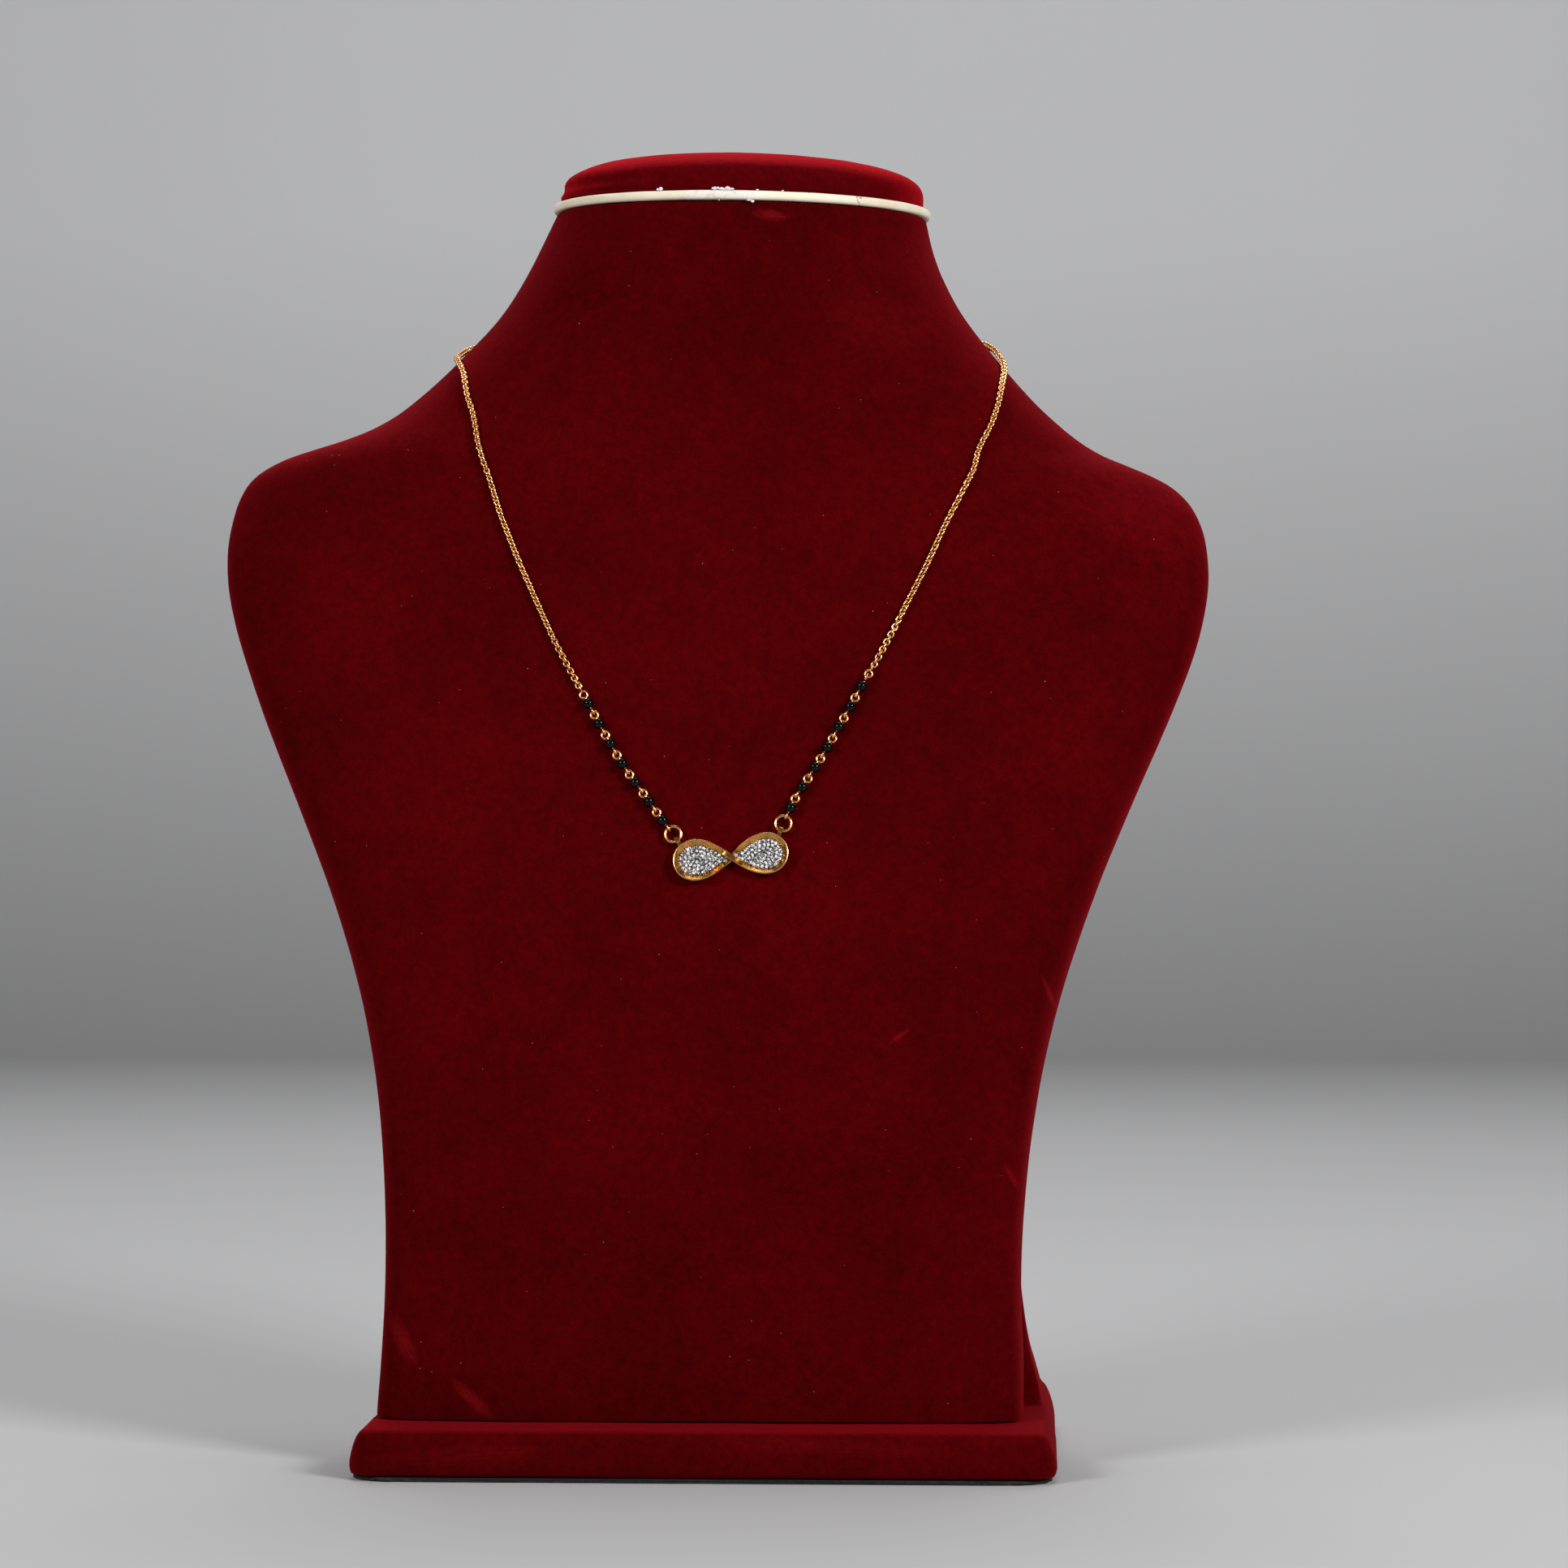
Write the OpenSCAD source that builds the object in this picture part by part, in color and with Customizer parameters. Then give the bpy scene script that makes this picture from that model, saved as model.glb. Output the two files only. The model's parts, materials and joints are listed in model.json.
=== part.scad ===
// Mangalsutra necklace on a velvet neck bust.
// X runs to the viewer's right, Y away from the viewer, Z up.
// The origin is the middle of the underside, where the bust stands on the table.

/* [Bust] */
// Height of the whole bust
bust_h = 297; // [285:1:330]
// Width across the shoulders
shoulder_w = 224.6; // [205:0.2:245]
// Depth from the chest to the back of the neck
body_d = 110.6; // [100:0.2:125]
// How far the middle of the body stands behind the middle of the base
body_back = 13.3; // [10:0.1:16]
// Sideways lean of the top of the neck
lean = 4.8; // [0:0.1:8]
// Sideways tilt of the neck's top, in degrees
neck_angle = 1; // [0:0.1:2]
// Gap left between two pieces that rest on each other
seat_gap = 0.15; // [0.1:0.05:0.3]

/* [Base] */
// Width of the base
base_w = 156.4; // [150:0.2:170]
// Depth of the base
base_d = 110; // [100:1:130]
// Thickness of the base's ledge
base_h = 9.9; // [8:0.1:14]
// Height of the support behind the body
support_h = 46; // [30:1:60]
// Rounding of the ledge's top edge
ledge_round = 2.4; // [1:0.1:4]
// Rounding of the base's corners, seen from above
corner_round = 9; // [4:0.5:16]
// Thickness of the black sheet under the base
pad_t = 0.9; // [0.6:0.1:2]
// How far the black sheet stays inside the base's edge
pad_inset = 0.8; // [0.4:0.1:3]

/* [Neck top] */
// Width of the cream disc at the neck
disc_w = 87.8; // [84:0.2:95]
// Thickness of the cream disc
disc_t = 2.1; // [1.6:0.1:4]
// Depth of the neck's top as a share of its width
neck_round = 0.885; // [0.85:0.005:0.95]
// Width of the velvet cap
cap_w = 84.8; // [76:0.2:90]
// Height of the cap's upright side
cap_side = 3.4; // [2:0.1:6]
// Rise of the cap's dome above its side
cap_rise = 8; // [5:0.1:12]

/* [Chain] */
// Width of the cable chain
chain_w = 1.4; // [1:0.05:1.6]
// Thickness of the wire of its end links
chain_wire = 0.36; // [0.3:0.01:0.4]
// Space between the chain and the velvet
chain_gap = 0.35; // [0.3:0.05:0.6]
// Length of the clasp's body
clasp_l = 8; // [6:0.5:12]
// Thickness of the clasp's body
clasp_d = 2.6; // [2.2:0.1:3.4]

/* [Beads] */
// Width of a black bead
bead_d = 2.6; // [2.2:0.1:3.2]
// Length of a black bead along its wire
bead_l = 2.35; // [2:0.05:2.6]
// Bore of a bead
bead_bore = 0.7; // [0.6:0.05:0.9]
// Thickness of a bead's wire
wire_d = 0.5; // [0.4:0.02:0.5]
// Outer width of the eye above a bead
eye_d = 2.15; // [1.9:0.05:2.6]
// Outer width of the eye below a bead
hook_d = 1.85; // [1.8:0.05:2.2]
// Outer width of the join link on the right
join_d = 2.1; // [1.9:0.05:2.6]
// Space between two rings that hang in each other
link_gap = 0.12; // [0.1:0.01:0.16]
// Space between the beads and the velvet
bead_gap = 0.2; // [0.1:0.05:0.4]

/* [Rings] */
// Outer width of a jump ring
ring_d = 4.15; // [3.6:0.05:5]
// Thickness of a jump ring's wire
ring_wire = 0.62; // [0.4:0.02:0.62]
// Bore of a bail
bail_bore = 1.1; // [1:0.05:1.4]
// Wall of a bail
bail_wall = 0.4; // [0.3:0.05:0.6]
// Width of a bail
bail_w = 0.9; // [0.7:0.05:1.2]
// Space between a bail's bore centre and the band's edge
bail_reach = 1.3; // [1.1:0.05:1.6]
// Direction of the bails from the pendant's long line, in degrees
bail_angle = 65; // [55:1:80]

/* [Pendant] */
// Length of the pendant
pendant_l = 25.6; // [22:0.1:30]
// Height of each lobe
lobe_h = 9.4; // [7.5:0.1:11]
// Width of the band
band_w = 1.3; // [0.9:0.05:1.5]
// Height of the band's outer edge
rim_h = 2; // [1.8:0.05:2.6]
// Height of the band's inner edge
inner_h = 1.3; // [1.15:0.05:1.6]
// Thickness of the plate in each lobe
plate_t = 0.8; // [0.6:0.05:1]
// Height of the plate's back face above the band's back face
plate_z = 0.3; // [0.2:0.05:0.4]
// Turn of the pendant in its own plane, in degrees
pendant_turn = 5.8; // [-10:0.2:15]
// Space between the pendant and the velvet
pendant_gap = 0.3; // [0.15:0.05:0.5]

/* [Stones] */
// Width of a stone
stone_d = 0.8; // [0.7:0.05:0.8]
// Distance from one stone's centre to the next
stone_pitch = 0.92; // [0.92:0.02:1.2]
// Space between a stone's girdle and the band, and between two rings of stones
stone_edge = 0.06; // [0.04:0.02:0.3]
// Width of the hole that is drilled under a stone
stone_hole = 0.55; // [0.5:0.05:0.6]

/* [Hidden] */
$fn = 48;

// Heights of the stacked pieces
base_z = pad_t + seat_gap;
torso_z = base_z + base_h + seat_gap;
cap_top_z = bust_h;
cap_z = cap_top_z - cap_rise - cap_side;
disc_z = cap_z - seat_gap - disc_t;
torso_top = disc_z - seat_gap;
torso_h = torso_top - torso_z;
half_w = shoulder_w / 2;

// Sections of the body, from its foot to its neck.
// Each row holds: height as a share of the body's height,
// half width as a share of the shoulders' half width,
// sideways shift as a share of the lean,
// front, side line and back as shares of the body's depth,
// and how square the front and the back are, where 2 is an ellipse.
SECTIONS = [
    [0.000, 0.643, -0.38, -0.459, -0.265, -0.138, 7.0, 8.0],
    [0.048, 0.638, -0.25, -0.473, -0.265, -0.137, 6.8, 7.6],
    [0.106, 0.631, -0.22, -0.486, -0.265, -0.134, 6.5, 7.0],
    [0.210, 0.641, -0.09, -0.500, -0.247, -0.129, 6.0, 6.0],
    [0.320, 0.683, 0.06, -0.489, -0.220, -0.093, 5.2, 5.0],
    [0.430, 0.769, 0.12, -0.441, -0.184, -0.030, 4.6, 4.2],
    [0.541, 0.885, 0.12, -0.364, -0.138, 0.052, 4.0, 3.6],
    [0.614, 0.958, 0.18, -0.310, -0.102, 0.115, 3.6, 3.2],
    [0.673, 0.997, 0.10, -0.270, -0.075, 0.160, 3.3, 3.0],
    [0.710, 1.000, 0.00, -0.250, -0.057, 0.192, 3.0, 2.8],
    [0.740, 0.985, -0.10, -0.236, -0.039, 0.219, 2.8, 2.6],
    [0.762, 0.956, -0.40, -0.225, -0.021, 0.242, 2.6, 2.5],
    [0.776, 0.914, -0.78, -0.220, -0.012, 0.255, 2.5, 2.4],
    [0.791, 0.840, -1.10, -0.216, 0.006, 0.273, 2.4, 2.3],
    [0.802, 0.775, -0.61, -0.213, 0.015, 0.287, 2.4, 2.3],
    [0.817, 0.705, -0.03, -0.209, 0.033, 0.305, 2.4, 2.3],
    [0.839, 0.638, 0.22, -0.203, 0.052, 0.332, 2.4, 2.3],
    [0.876, 0.554, 0.42, -0.196, 0.088, 0.377, 2.3, 2.3],
    [0.912, 0.481, 0.58, -0.192, 0.115, 0.422, 2.3, 2.3],
    [0.949, 0.430, 0.68, -0.189, 0.137, 0.467, 2.2, 2.2],
    [0.975, 0.404, 0.79, -0.187, 0.151, 0.490, 2.1, 2.1],
    [1.000, 0.383, 1.00, -0.186, 0.156, 0.500, 2.1, 2.1]
];
S_HEIGHT = 0;
S_WIDTH = 1;
S_SHIFT = 2;
S_FRONT = 3;
S_SIDE = 4;
S_BACK = 5;
S_SQUARE_FRONT = 6;
S_SQUARE_BACK = 7;
section_last = len(SECTIONS) - 1;
around = 44;

// Route of the chain and beads over the front of the body, from the pendant up.
// Each row holds the place across and the height, as shares of half_w and bust_h.
LEFT_FRONT = [
    [-0.076, 0.477],
    [-0.117, 0.499],
    [-0.168, 0.525],
    [-0.240, 0.572],
    [-0.312, 0.621],
    [-0.374, 0.671],
    [-0.427, 0.720],
    [-0.470, 0.770],
    [-0.499, 0.810],
    [-0.517, 0.8305]
];
RIGHT_FRONT = [
    [0.155, 0.487],
    [0.195, 0.509],
    [0.239, 0.536],
    [0.304, 0.581],
    [0.362, 0.621],
    [0.427, 0.670],
    [0.489, 0.720],
    [0.543, 0.770],
    [0.5755, 0.8095],
    [0.581, 0.8295]
];
// Route on round the neck, the same on both sides.
// Each row holds the turn from the side of the neck to its back and the height.
NAPE = [
    [0, 0.8455],
    [24, 0.859],
    [56, 0.866],
    [90, 0.868]
];

// Value of one column of a table at a share of its first column, run smoothly.
function row_at(table, u, i = 0) =
    i >= len(table) - 2 || table[i + 1][0] >= u ? i : row_at(table, u, i + 1);
function rise(table, col, i) =
    (table[i + 1][col] - table[i][col]) / (table[i + 1][0] - table[i][0]);
function gap_of(table, i) = table[i + 1][0] - table[i][0];
function slope(table, col, i) =
    i == 0 ? rise(table, col, 0)
    : i == len(table) - 1 ? rise(table, col, i - 1)
    : (rise(table, col, i - 1) * gap_of(table, i) + rise(table, col, i) * gap_of(table, i - 1))
        / (gap_of(table, i) + gap_of(table, i - 1));
function smooth(table, col, u, i) =
    let (g = gap_of(table, i), v = (u - table[i][0]) / g, w = v * v, c = w * v)
    (2 * c - 3 * w + 1) * table[i][col] + (c - 2 * w + v) * g * slope(table, col, i)
    + (3 * w - 2 * c) * table[i + 1][col] + (c - w) * g * slope(table, col, i + 1);
function column(u, col) = smooth(SECTIONS, col, u, row_at(SECTIONS, u));

// The section at one height in millimetres:
// half width, middle, front, side line, back and the two squarenesses
function section(z) =
    let (u = max(0, min(1, (z - torso_z) / torso_h)))
    [
        column(u, S_WIDTH) * half_w,
        column(u, S_SHIFT) * lean,
        column(u, S_FRONT) * body_d + body_back,
        column(u, S_SIDE) * body_d + body_back,
        column(u, S_BACK) * body_d + body_back,
        column(u, S_SQUARE_FRONT),
        column(u, S_SQUARE_BACK)
    ];
// A point of the outline of a section; turn 0 is the right side, 90 the back.
function outline_point(s, turn, z) =
    let (
        back = sin(turn) >= 0,
        n = back ? s[6] : s[5],
        x = pow(abs(cos(turn)), (2 / n + 1) / 2),
        y = pow(max(0, 1 - pow(x, n)), 1 / n)
    )
    [
        s[1] + sign(cos(turn)) * x * s[0],
        s[3] + y * (back ? s[4] - s[3] : s[2] - s[3]),
        z
    ];
// How far out a point lies: 1 on the body's surface, more outside it
function level(p) =
    let (
        s = section(p.z),
        back = p.y > s[3],
        n = back ? s[6] : s[5],
        x = abs(p.x - s[1]) / s[0],
        y = abs(p.y - s[3]) / (back ? s[4] - s[3] : s[3] - s[2])
    )
    pow(pow(x, n) + pow(y, n), 1 / n);
function unit(v) = v / norm(v);
probe = 0.05;
function normal_at(p) = unit([
    level(p + [probe, 0, 0]) - level(p - [probe, 0, 0]),
    level(p + [0, probe, 0]) - level(p - [0, probe, 0]),
    level(p + [0, 0, probe]) - level(p - [0, 0, probe])
]);
// The same point moved at its own height onto the surface
function onto(p) =
    let (s = section(p.z), f = level(p))
    [s[1] + (p.x - s[1]) / f, s[3] + (p.y - s[3]) / f, p.z];
function front_point(x, z) =
    let (s = section(z), f = min(1, abs(x - s[1]) / s[0]))
    [x, s[3] - (s[3] - s[2]) * pow(1 - pow(f, s[5]), 1 / s[5]), z];
// The neck's top is tilted a little
function tilt_share(z) = pow(max(0, (z - torso_z) / torso_h - 0.88) / 0.12, 2);
function tilted(p) = [p.x, p.y, p.z - (p.x - lean) * tan(neck_angle) * tilt_share(p.z)];

// A tube or loft through rings of the same number of points
function loft_faces(rings, per, closed = false) = concat(
    [
        for (i = [0:rings - (closed ? 1 : 2)], j = [0:per - 1])
        let (a = i * per + j, b = i * per + (j + 1) % per)
        let (c = (a + per) % (rings * per), d = (b + per) % (rings * per))
        for (f = [[a, b, d], [a, d, c]]) f
    ],
    closed ? [] : [
        [for (j = [per - 1:-1:0]) j],
        [for (j = [0:per - 1]) (rings - 1) * per + j]
    ]
);

module torso() {
    heights = [
        for (i = [0:section_last], k = [0, 1])
        if (k == 0 || i < section_last)
        let (a = SECTIONS[i][S_HEIGHT], b = SECTIONS[min(i + 1, section_last)][S_HEIGHT])
        torso_z + torso_h * (k == 0 ? a : (a + b) / 2)
    ];
    points = [
        for (z = heights)
        let (s = section(z))
        for (j = [0:around - 1])
        tilted(outline_point(s, -360 * j / around, z))
    ];
    color("darkred")
    polyhedron(points, loft_faces(len(heights), around), convexity = 6);
}

neck_mid = [lean, column(1, S_SIDE) * body_d + body_back, disc_z];

// Cream disc whose rounded edge shows between the neck and the cap
module neck_disc() {
    color("antiquewhite")
    translate(neck_mid)
    rotate([0, neck_angle, 0])
    scale([1, neck_round, 1])
    rotate_extrude($fn = 96)
    intersection() {
        union() {
            square([disc_w / 2 - disc_t / 2, disc_t]);
            translate([disc_w / 2 - disc_t / 2, disc_t / 2])
            circle(d = disc_t, $fn = 32);
        }
        square([disc_w, disc_t]);
    }
}

// Padded velvet cap with a low dome
cap_square = 2.6;
cap_steps = 10;
cap_edge = 0.6;
module neck_cap() {
    profile = concat(
        [[cap_w / 2 - cap_edge, 0], [cap_w / 2, cap_edge]],
        [
            for (i = [0:cap_steps])
            let (a = 90 * pow(i / (cap_steps + 0.4), 1.3))
            [
                cap_w / 2 * pow(cos(a), 2 / cap_square),
                cap_side + cap_rise * pow(sin(a), 2 / cap_square)
            ]
        ]
    );
    points = [
        for (p = profile, j = [0:around - 1])
        let (a = -360 * j / around)
        [p.x * cos(a), p.x * neck_round * sin(a), p.y]
    ];
    color("darkred")
    translate(neck_mid + [0, 0, disc_t + seat_gap])
    rotate([0, neck_angle, 0])
    polyhedron(points, loft_faces(len(profile), around), convexity = 4);
}

// End view of the base: height above the ledge's underside and half width,
// as shares of the ledge's thickness or the support's height and of the base's half width
LEDGE_END = [
    [0.00, 0.988],
    [0.06, 0.997],
    [0.25, 1.000],
    [0.60, 0.997],
    [0.85, 0.988],
    [1.00, 0.975]
];
SUPPORT_END = [
    [0.14, 0.952],
    [0.24, 0.932],
    [0.36, 0.916],
    [0.50, 0.903],
    [0.70, 0.890],
    [0.88, 0.870],
    [1.00, 0.835]
];
// The support starts a little inside the ledge, so that the two are one solid
support_sink = 1;
// The front of the support follows the body's flat back
support_front = max(
    section(torso_z)[4],
    section(torso_z + torso_h * 0.1)[4],
    section(base_z + base_h + support_h)[4]
) + 4 * seat_gap;

module rounded_plan(w, d, r) {
    square([w - 2 * r, d], center = true);
    square([w, d - 2 * r], center = true);
    for (x = [-1, 1], y = [-1, 1])
        translate([x * (w / 2 - r), y * (d / 2 - r)])
        circle(r);
}

// What the plan, the end view and a given side view have in common
module base_shape(end_view) {
    intersection() {
        linear_extrude(base_h + support_h + 1)
        rounded_plan(base_w + 1, base_d, corner_round);
        rotate([90, 0, 0])
        linear_extrude(base_d + 2, center = true)
        polygon(end_view);
        rotate([90, 0, 90])
        linear_extrude(base_w + 2, center = true)
        children();
    }
}

module base() {
    half_end = concat(
        [for (p = LEDGE_END) [p[1] * base_w / 2, p[0] * base_h]],
        [for (p = SUPPORT_END) [p[1] * base_w / 2, base_h + p[0] * support_h]]
    );
    all_end = concat(half_end, [for (i = [len(half_end) - 1:-1:0]) [-half_end[i].x, half_end[i].y]]);
    back_depth = base_d / 2 - support_front;
    color("darkred")
    translate([0, 0, base_z])
    union() {
        // The ledge has a rounded edge
        base_shape(all_end)
        union() {
            translate([-base_d / 2, 0])
            square([base_d, base_h - ledge_round]);
            translate([-base_d / 2 + ledge_round, 0])
            square([base_d - 2 * ledge_round, base_h]);
            for (y = [-1, 1])
                translate([y * (base_d / 2 - ledge_round), base_h - ledge_round])
                circle(ledge_round);
        }
        // The support runs down to the back
        base_shape(all_end)
        polygon(concat(
            [[support_front, base_h - support_sink]],
            [[support_front, base_h + support_h]],
            [
                for (a = [0:9:81])
                [
                    support_front + back_depth * (0.18 + 0.74 * (1 - cos(a))),
                    base_h + support_h * (1 - 0.98 * sin(a))
                ]
            ],
            [[base_d / 2 - ledge_round, base_h - support_sink]]
        ));
    }
}

module base_pad() {
    color("black")
    linear_extrude(pad_t)
    rounded_plan(base_w - 2 * pad_inset - 2, base_d - 2 * pad_inset, corner_round);
}

// The pendant lies on the slope of the chest
pendant_x = 0.0521 * half_w;
pendant_z = 0.4546 * bust_h;
pendant_lean = atan2(
    front_point(pendant_x, pendant_z + 5).y - front_point(pendant_x, pendant_z - 5).y,
    10
);
// The slope is a shallow hollow or bulge, so the plane stays clear of its highest place
function lift_at(dz) =
    let (
        up = [0, sin(pendant_lean), cos(pendant_lean)],
        out = [0, -cos(pendant_lean), sin(pendant_lean)],
        q = front_point(pendant_x, pendant_z),
        p = front_point(pendant_x, pendant_z + dz)
    )
    (p - q) * out;
pendant_rest = max([for (dz = [-8:2:8]) lift_at(dz)]) + pendant_gap;
pendant_origin = front_point(pendant_x, pendant_z)
    + pendant_rest * [0, -cos(pendant_lean), sin(pendant_lean)];
function turned(p, a) = [p.x * cos(a) - p.y * sin(a), p.x * sin(a) + p.y * cos(a), p.z];
function leaned(p) =
    [
        p.x,
        p.y * sin(pendant_lean) - p.z * cos(pendant_lean),
        p.y * cos(pendant_lean) + p.z * sin(pendant_lean)
    ];
function from_pendant(p) = pendant_origin + leaned(turned(p, pendant_turn));
module on_pendant() {
    translate(pendant_origin)
    rotate([90 - pendant_lean, 0, 0])
    rotate([0, 0, pendant_turn])
    children();
}

// Middle line of the figure-of-eight band
lobe_fullness = 0.5;
half_l = (pendant_l - band_w) / 2;
lobe_size = (lobe_h - band_w) * sqrt(1 + lobe_fullness);
function eight(t) =
    let (f = 1 + lobe_fullness * sin(t) * sin(t))
    [half_l * cos(t) / f, lobe_size * sin(t) * cos(t) / f];
function eight_dir(t) = unit(eight(t + 0.5) - eight(t - 0.5));
function eight_side(t) = let (d = eight_dir(t)) [-d.y, d.x];
function ease(a, b, v) = let (u = max(0, min(1, (v - a) / (b - a)))) u * u * (3 - 2 * u);
cross_clear = 0.1;
cross_low = (rim_h - cross_clear) / 2;
// One cross-section of the band: the outer edge is high and the inner edge low,
// and at the crossing one strand dips below the other
function band_ring(t) =
    let (
        c = eight(t),
        s = eight_side(t),
        near = 1 - ease(band_w * 0.9, band_w * 2.6, norm(c)),
        over = t > 180 ? near : 0,
        under = t > 180 ? 0 : near,
        flip = ease(-band_w * 1.6, band_w * 1.6, cos(t) > 0 ? norm(c) : -norm(c)),
        floor = over * (cross_low + cross_clear),
        outer_h = rim_h - under * (rim_h - cross_low),
        low_h = inner_h + over * (rim_h - inner_h) - under * (inner_h - cross_low),
        // on the right lobe the outer side is the right-hand side of the travel
        left_h = low_h + (outer_h - low_h) * (1 - flip),
        right_h = low_h + (outer_h - low_h) * flip,
        w = band_w / 2,
        bevel = 0.16
    )
    [
        for (q = [
            [w, floor], [-w, floor],
            [-w, right_h - bevel], [-w + bevel, right_h],
            [w - bevel, left_h], [w, left_h - bevel]
        ])
        [c.x + s.x * q[0], c.y + s.y * q[0], q[1]]
    ];
band_steps = 72;

// Outline of one lobe's plate, along the band's middle line, up to the crossing
plate_end = 84;
function lobe_outline(side) = [
    for (t = [-plate_end:6:plate_end])
    let (p = eight(t))
    [side * p.x, p.y]
];

// Stones fill a lobe in rings: the outermost ring runs along the band's inner edge,
// and what room is left in the middle is filled from a grid
inside_edge = band_w / 2 + stone_d / 2 + stone_edge;
stone_rings = 4;
stone_grid = stone_d * 0.25;
function edge_distance(p) = min([for (t = [-88:4:88]) norm(eight(t) - p)]);
function inner_line(d) = [
    for (t = [-86:2:86])
    let (p = eight(t) + d * eight_side(t))
    if (p.x > 0 && edge_distance(p) > d - stone_edge) p
];
function evenly(line, pitch) =
    let (
        l = lengths(line),
        total = l[len(l) - 1],
        count = max(1, floor(total / pitch))
    )
    [
        for (k = [0:count - 1])
        let (s = k * total / count, i = find_part(l, s))
        line[i] + (s - l[i]) / (l[i + 1] - l[i]) * (line[i + 1] - line[i])
    ];
function inner_ring(d) =
    let (line = inner_line(d)) len(line) > 2 ? evenly(line, stone_pitch) : [];
function half_height(x) =
    let (t = [for (a = [0:1:88]) if (eight(a).x >= x) a]) eight(t[len(t) - 1]).y;
stone_wishes = concat(
    [for (k = [0:stone_rings - 1]) each inner_ring(inside_edge + k * (stone_d + stone_edge))],
    [
        for (x = [half_l - inside_edge:-stone_grid:inside_edge], y = [-lobe_h / 2:stone_grid:lobe_h / 2])
        if (abs(y) < half_height(x) && edge_distance([x, y]) > inside_edge) [x, y]
    ]
);
function kept(wishes, list, i) =
    i == len(wishes) ? list
    : kept(
        wishes,
        min([for (p = list) norm(p - wishes[i])]) < stone_d + stone_edge / 2
            ? list : concat(list, [wishes[i]]),
        i + 1
    );
stone_places = kept(stone_wishes, [stone_wishes[0]], 1);
stone_tilt = 7;
stone_z = plate_z + plate_t + 0.12 + stone_d * 0.18;
module bail(side) {
    t = 22;
    edge = eight(t) - eight_side(t) * band_w / 2;
    at = edge + bail_reach * [cos(bail_angle), sin(bail_angle)];
    outer_r = bail_bore / 2 + bail_wall;
    sink = bail_reach + band_w * 0.45;
    mirror([side < 0 ? 1 : 0, 0, 0])
    translate([at.x, at.y, rim_h / 2])
    rotate([0, 0, bail_angle])
    difference() {
        union() {
            rotate([90, 0, 0])
            cylinder(r = outer_r, h = bail_w, center = true, $fn = 48);
            translate([-sink, -bail_w / 2, -0.5])
            cube([sink - bail_bore / 2 - 0.05, bail_w, 1]);
        }
        rotate([90, 0, 0])
        cylinder(d = bail_bore, h = bail_w + 1, center = true, $fn = 48);
    }
}

module pendant_frame() {
    color("goldenrod")
    on_pendant()
    union() {
        polyhedron(
            [for (i = [0:band_steps - 1]) for (p = band_ring(360 * (i + 0.5) / band_steps)) p],
            loft_faces(band_steps, 6, true),
            convexity = 10
        );
        for (side = [-1, 1])
            difference() {
                translate([0, 0, plate_z])
                linear_extrude(plate_t)
                polygon(lobe_outline(side));
                for (p = stone_places)
                    translate([side * p.x, p.y, 0])
                    cylinder(d = stone_hole, h = rim_h, $fn = 16);
            }
        for (side = [-1, 1])
            bail(side);
    }
}

// A round cut stone: flat table, eight crown facets, thin girdle, eight facets below
module stone(d) {
    sides = 8;
    points = concat(
        [for (i = [0:sides - 1]) d * 0.28 * [cos(45 * i), sin(45 * i), 0] + [0, 0, d * 0.16]],
        [for (i = [0:sides - 1]) d / 2 * [cos(45 * i + 22.5), sin(45 * i + 22.5), 0]],
        [[0, 0, -d * 0.43]]
    );
    faces = concat(
        [[for (i = [sides - 1:-1:0]) i]],
        [for (i = [0:sides - 1]) [i, (i + 1) % sides, sides + i]],
        [for (i = [0:sides - 1]) [(i + 1) % sides, sides + (i + 1) % sides, sides + i]],
        [for (i = [0:sides - 1]) [sides + i, sides + (i + 1) % sides, 2 * sides]]
    );
    polyhedron(points, faces);
}

module stones(side) {
    color("whitesmoke")
    on_pendant()
    for (i = [0:len(stone_places) - 1])
        translate([side * stone_places[i].x, stone_places[i].y, stone_z])
        rotate([stone_tilt * sin(97 * i), stone_tilt * cos(61 * i), 17 * i])
        stone(stone_d);
}

module ring(outer, wire) {
    rotate_extrude($fn = 48)
    translate([(outer - wire) / 2, 0])
    circle(d = wire, $fn = 24);
}

// Jump rings: each one goes through a bail and holds the last bead's wire
ring_r = (ring_d - ring_wire) / 2;
function ring_middle(side) =
    let (edge = eight(22) - eight_side(22) * band_w / 2)
    [
        side * (edge.x + (bail_reach + ring_r) * cos(bail_angle)),
        edge.y + (bail_reach + ring_r) * sin(bail_angle),
        rim_h / 2
    ];
hook_angle = [125, 61];
function ring_wire_point(side) =
    let (a = side < 0 ? hook_angle[0] : hook_angle[1])
    from_pendant(ring_middle(side) + ring_r * [cos(a), sin(a), 0]);
module jump_ring(side) {
    color("goldenrod")
    on_pendant()
    translate(ring_middle(side))
    ring(ring_d, ring_wire);
}

// Lengths along one bead's wire, counted up from the centre of its lower eye
wire_r = wire_d / 2;
eye_r = (eye_d - wire_d) / 2;
hook_r = (hook_d - wire_d) / 2;
join_r = (join_d - wire_d) / 2;
eye_space = 0.06;
bead_at = hook_r + wire_r + eye_space + bead_l / 2;
eye_at = bead_at + bead_l / 2 + eye_space + wire_r + eye_r;
link_step = eye_at + eye_r - wire_d - link_gap + hook_r;
bead_lift = bead_d / 2 + bead_gap;
chain_lift = chain_w / 2 + chain_gap;
bead_count = 7;

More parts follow.
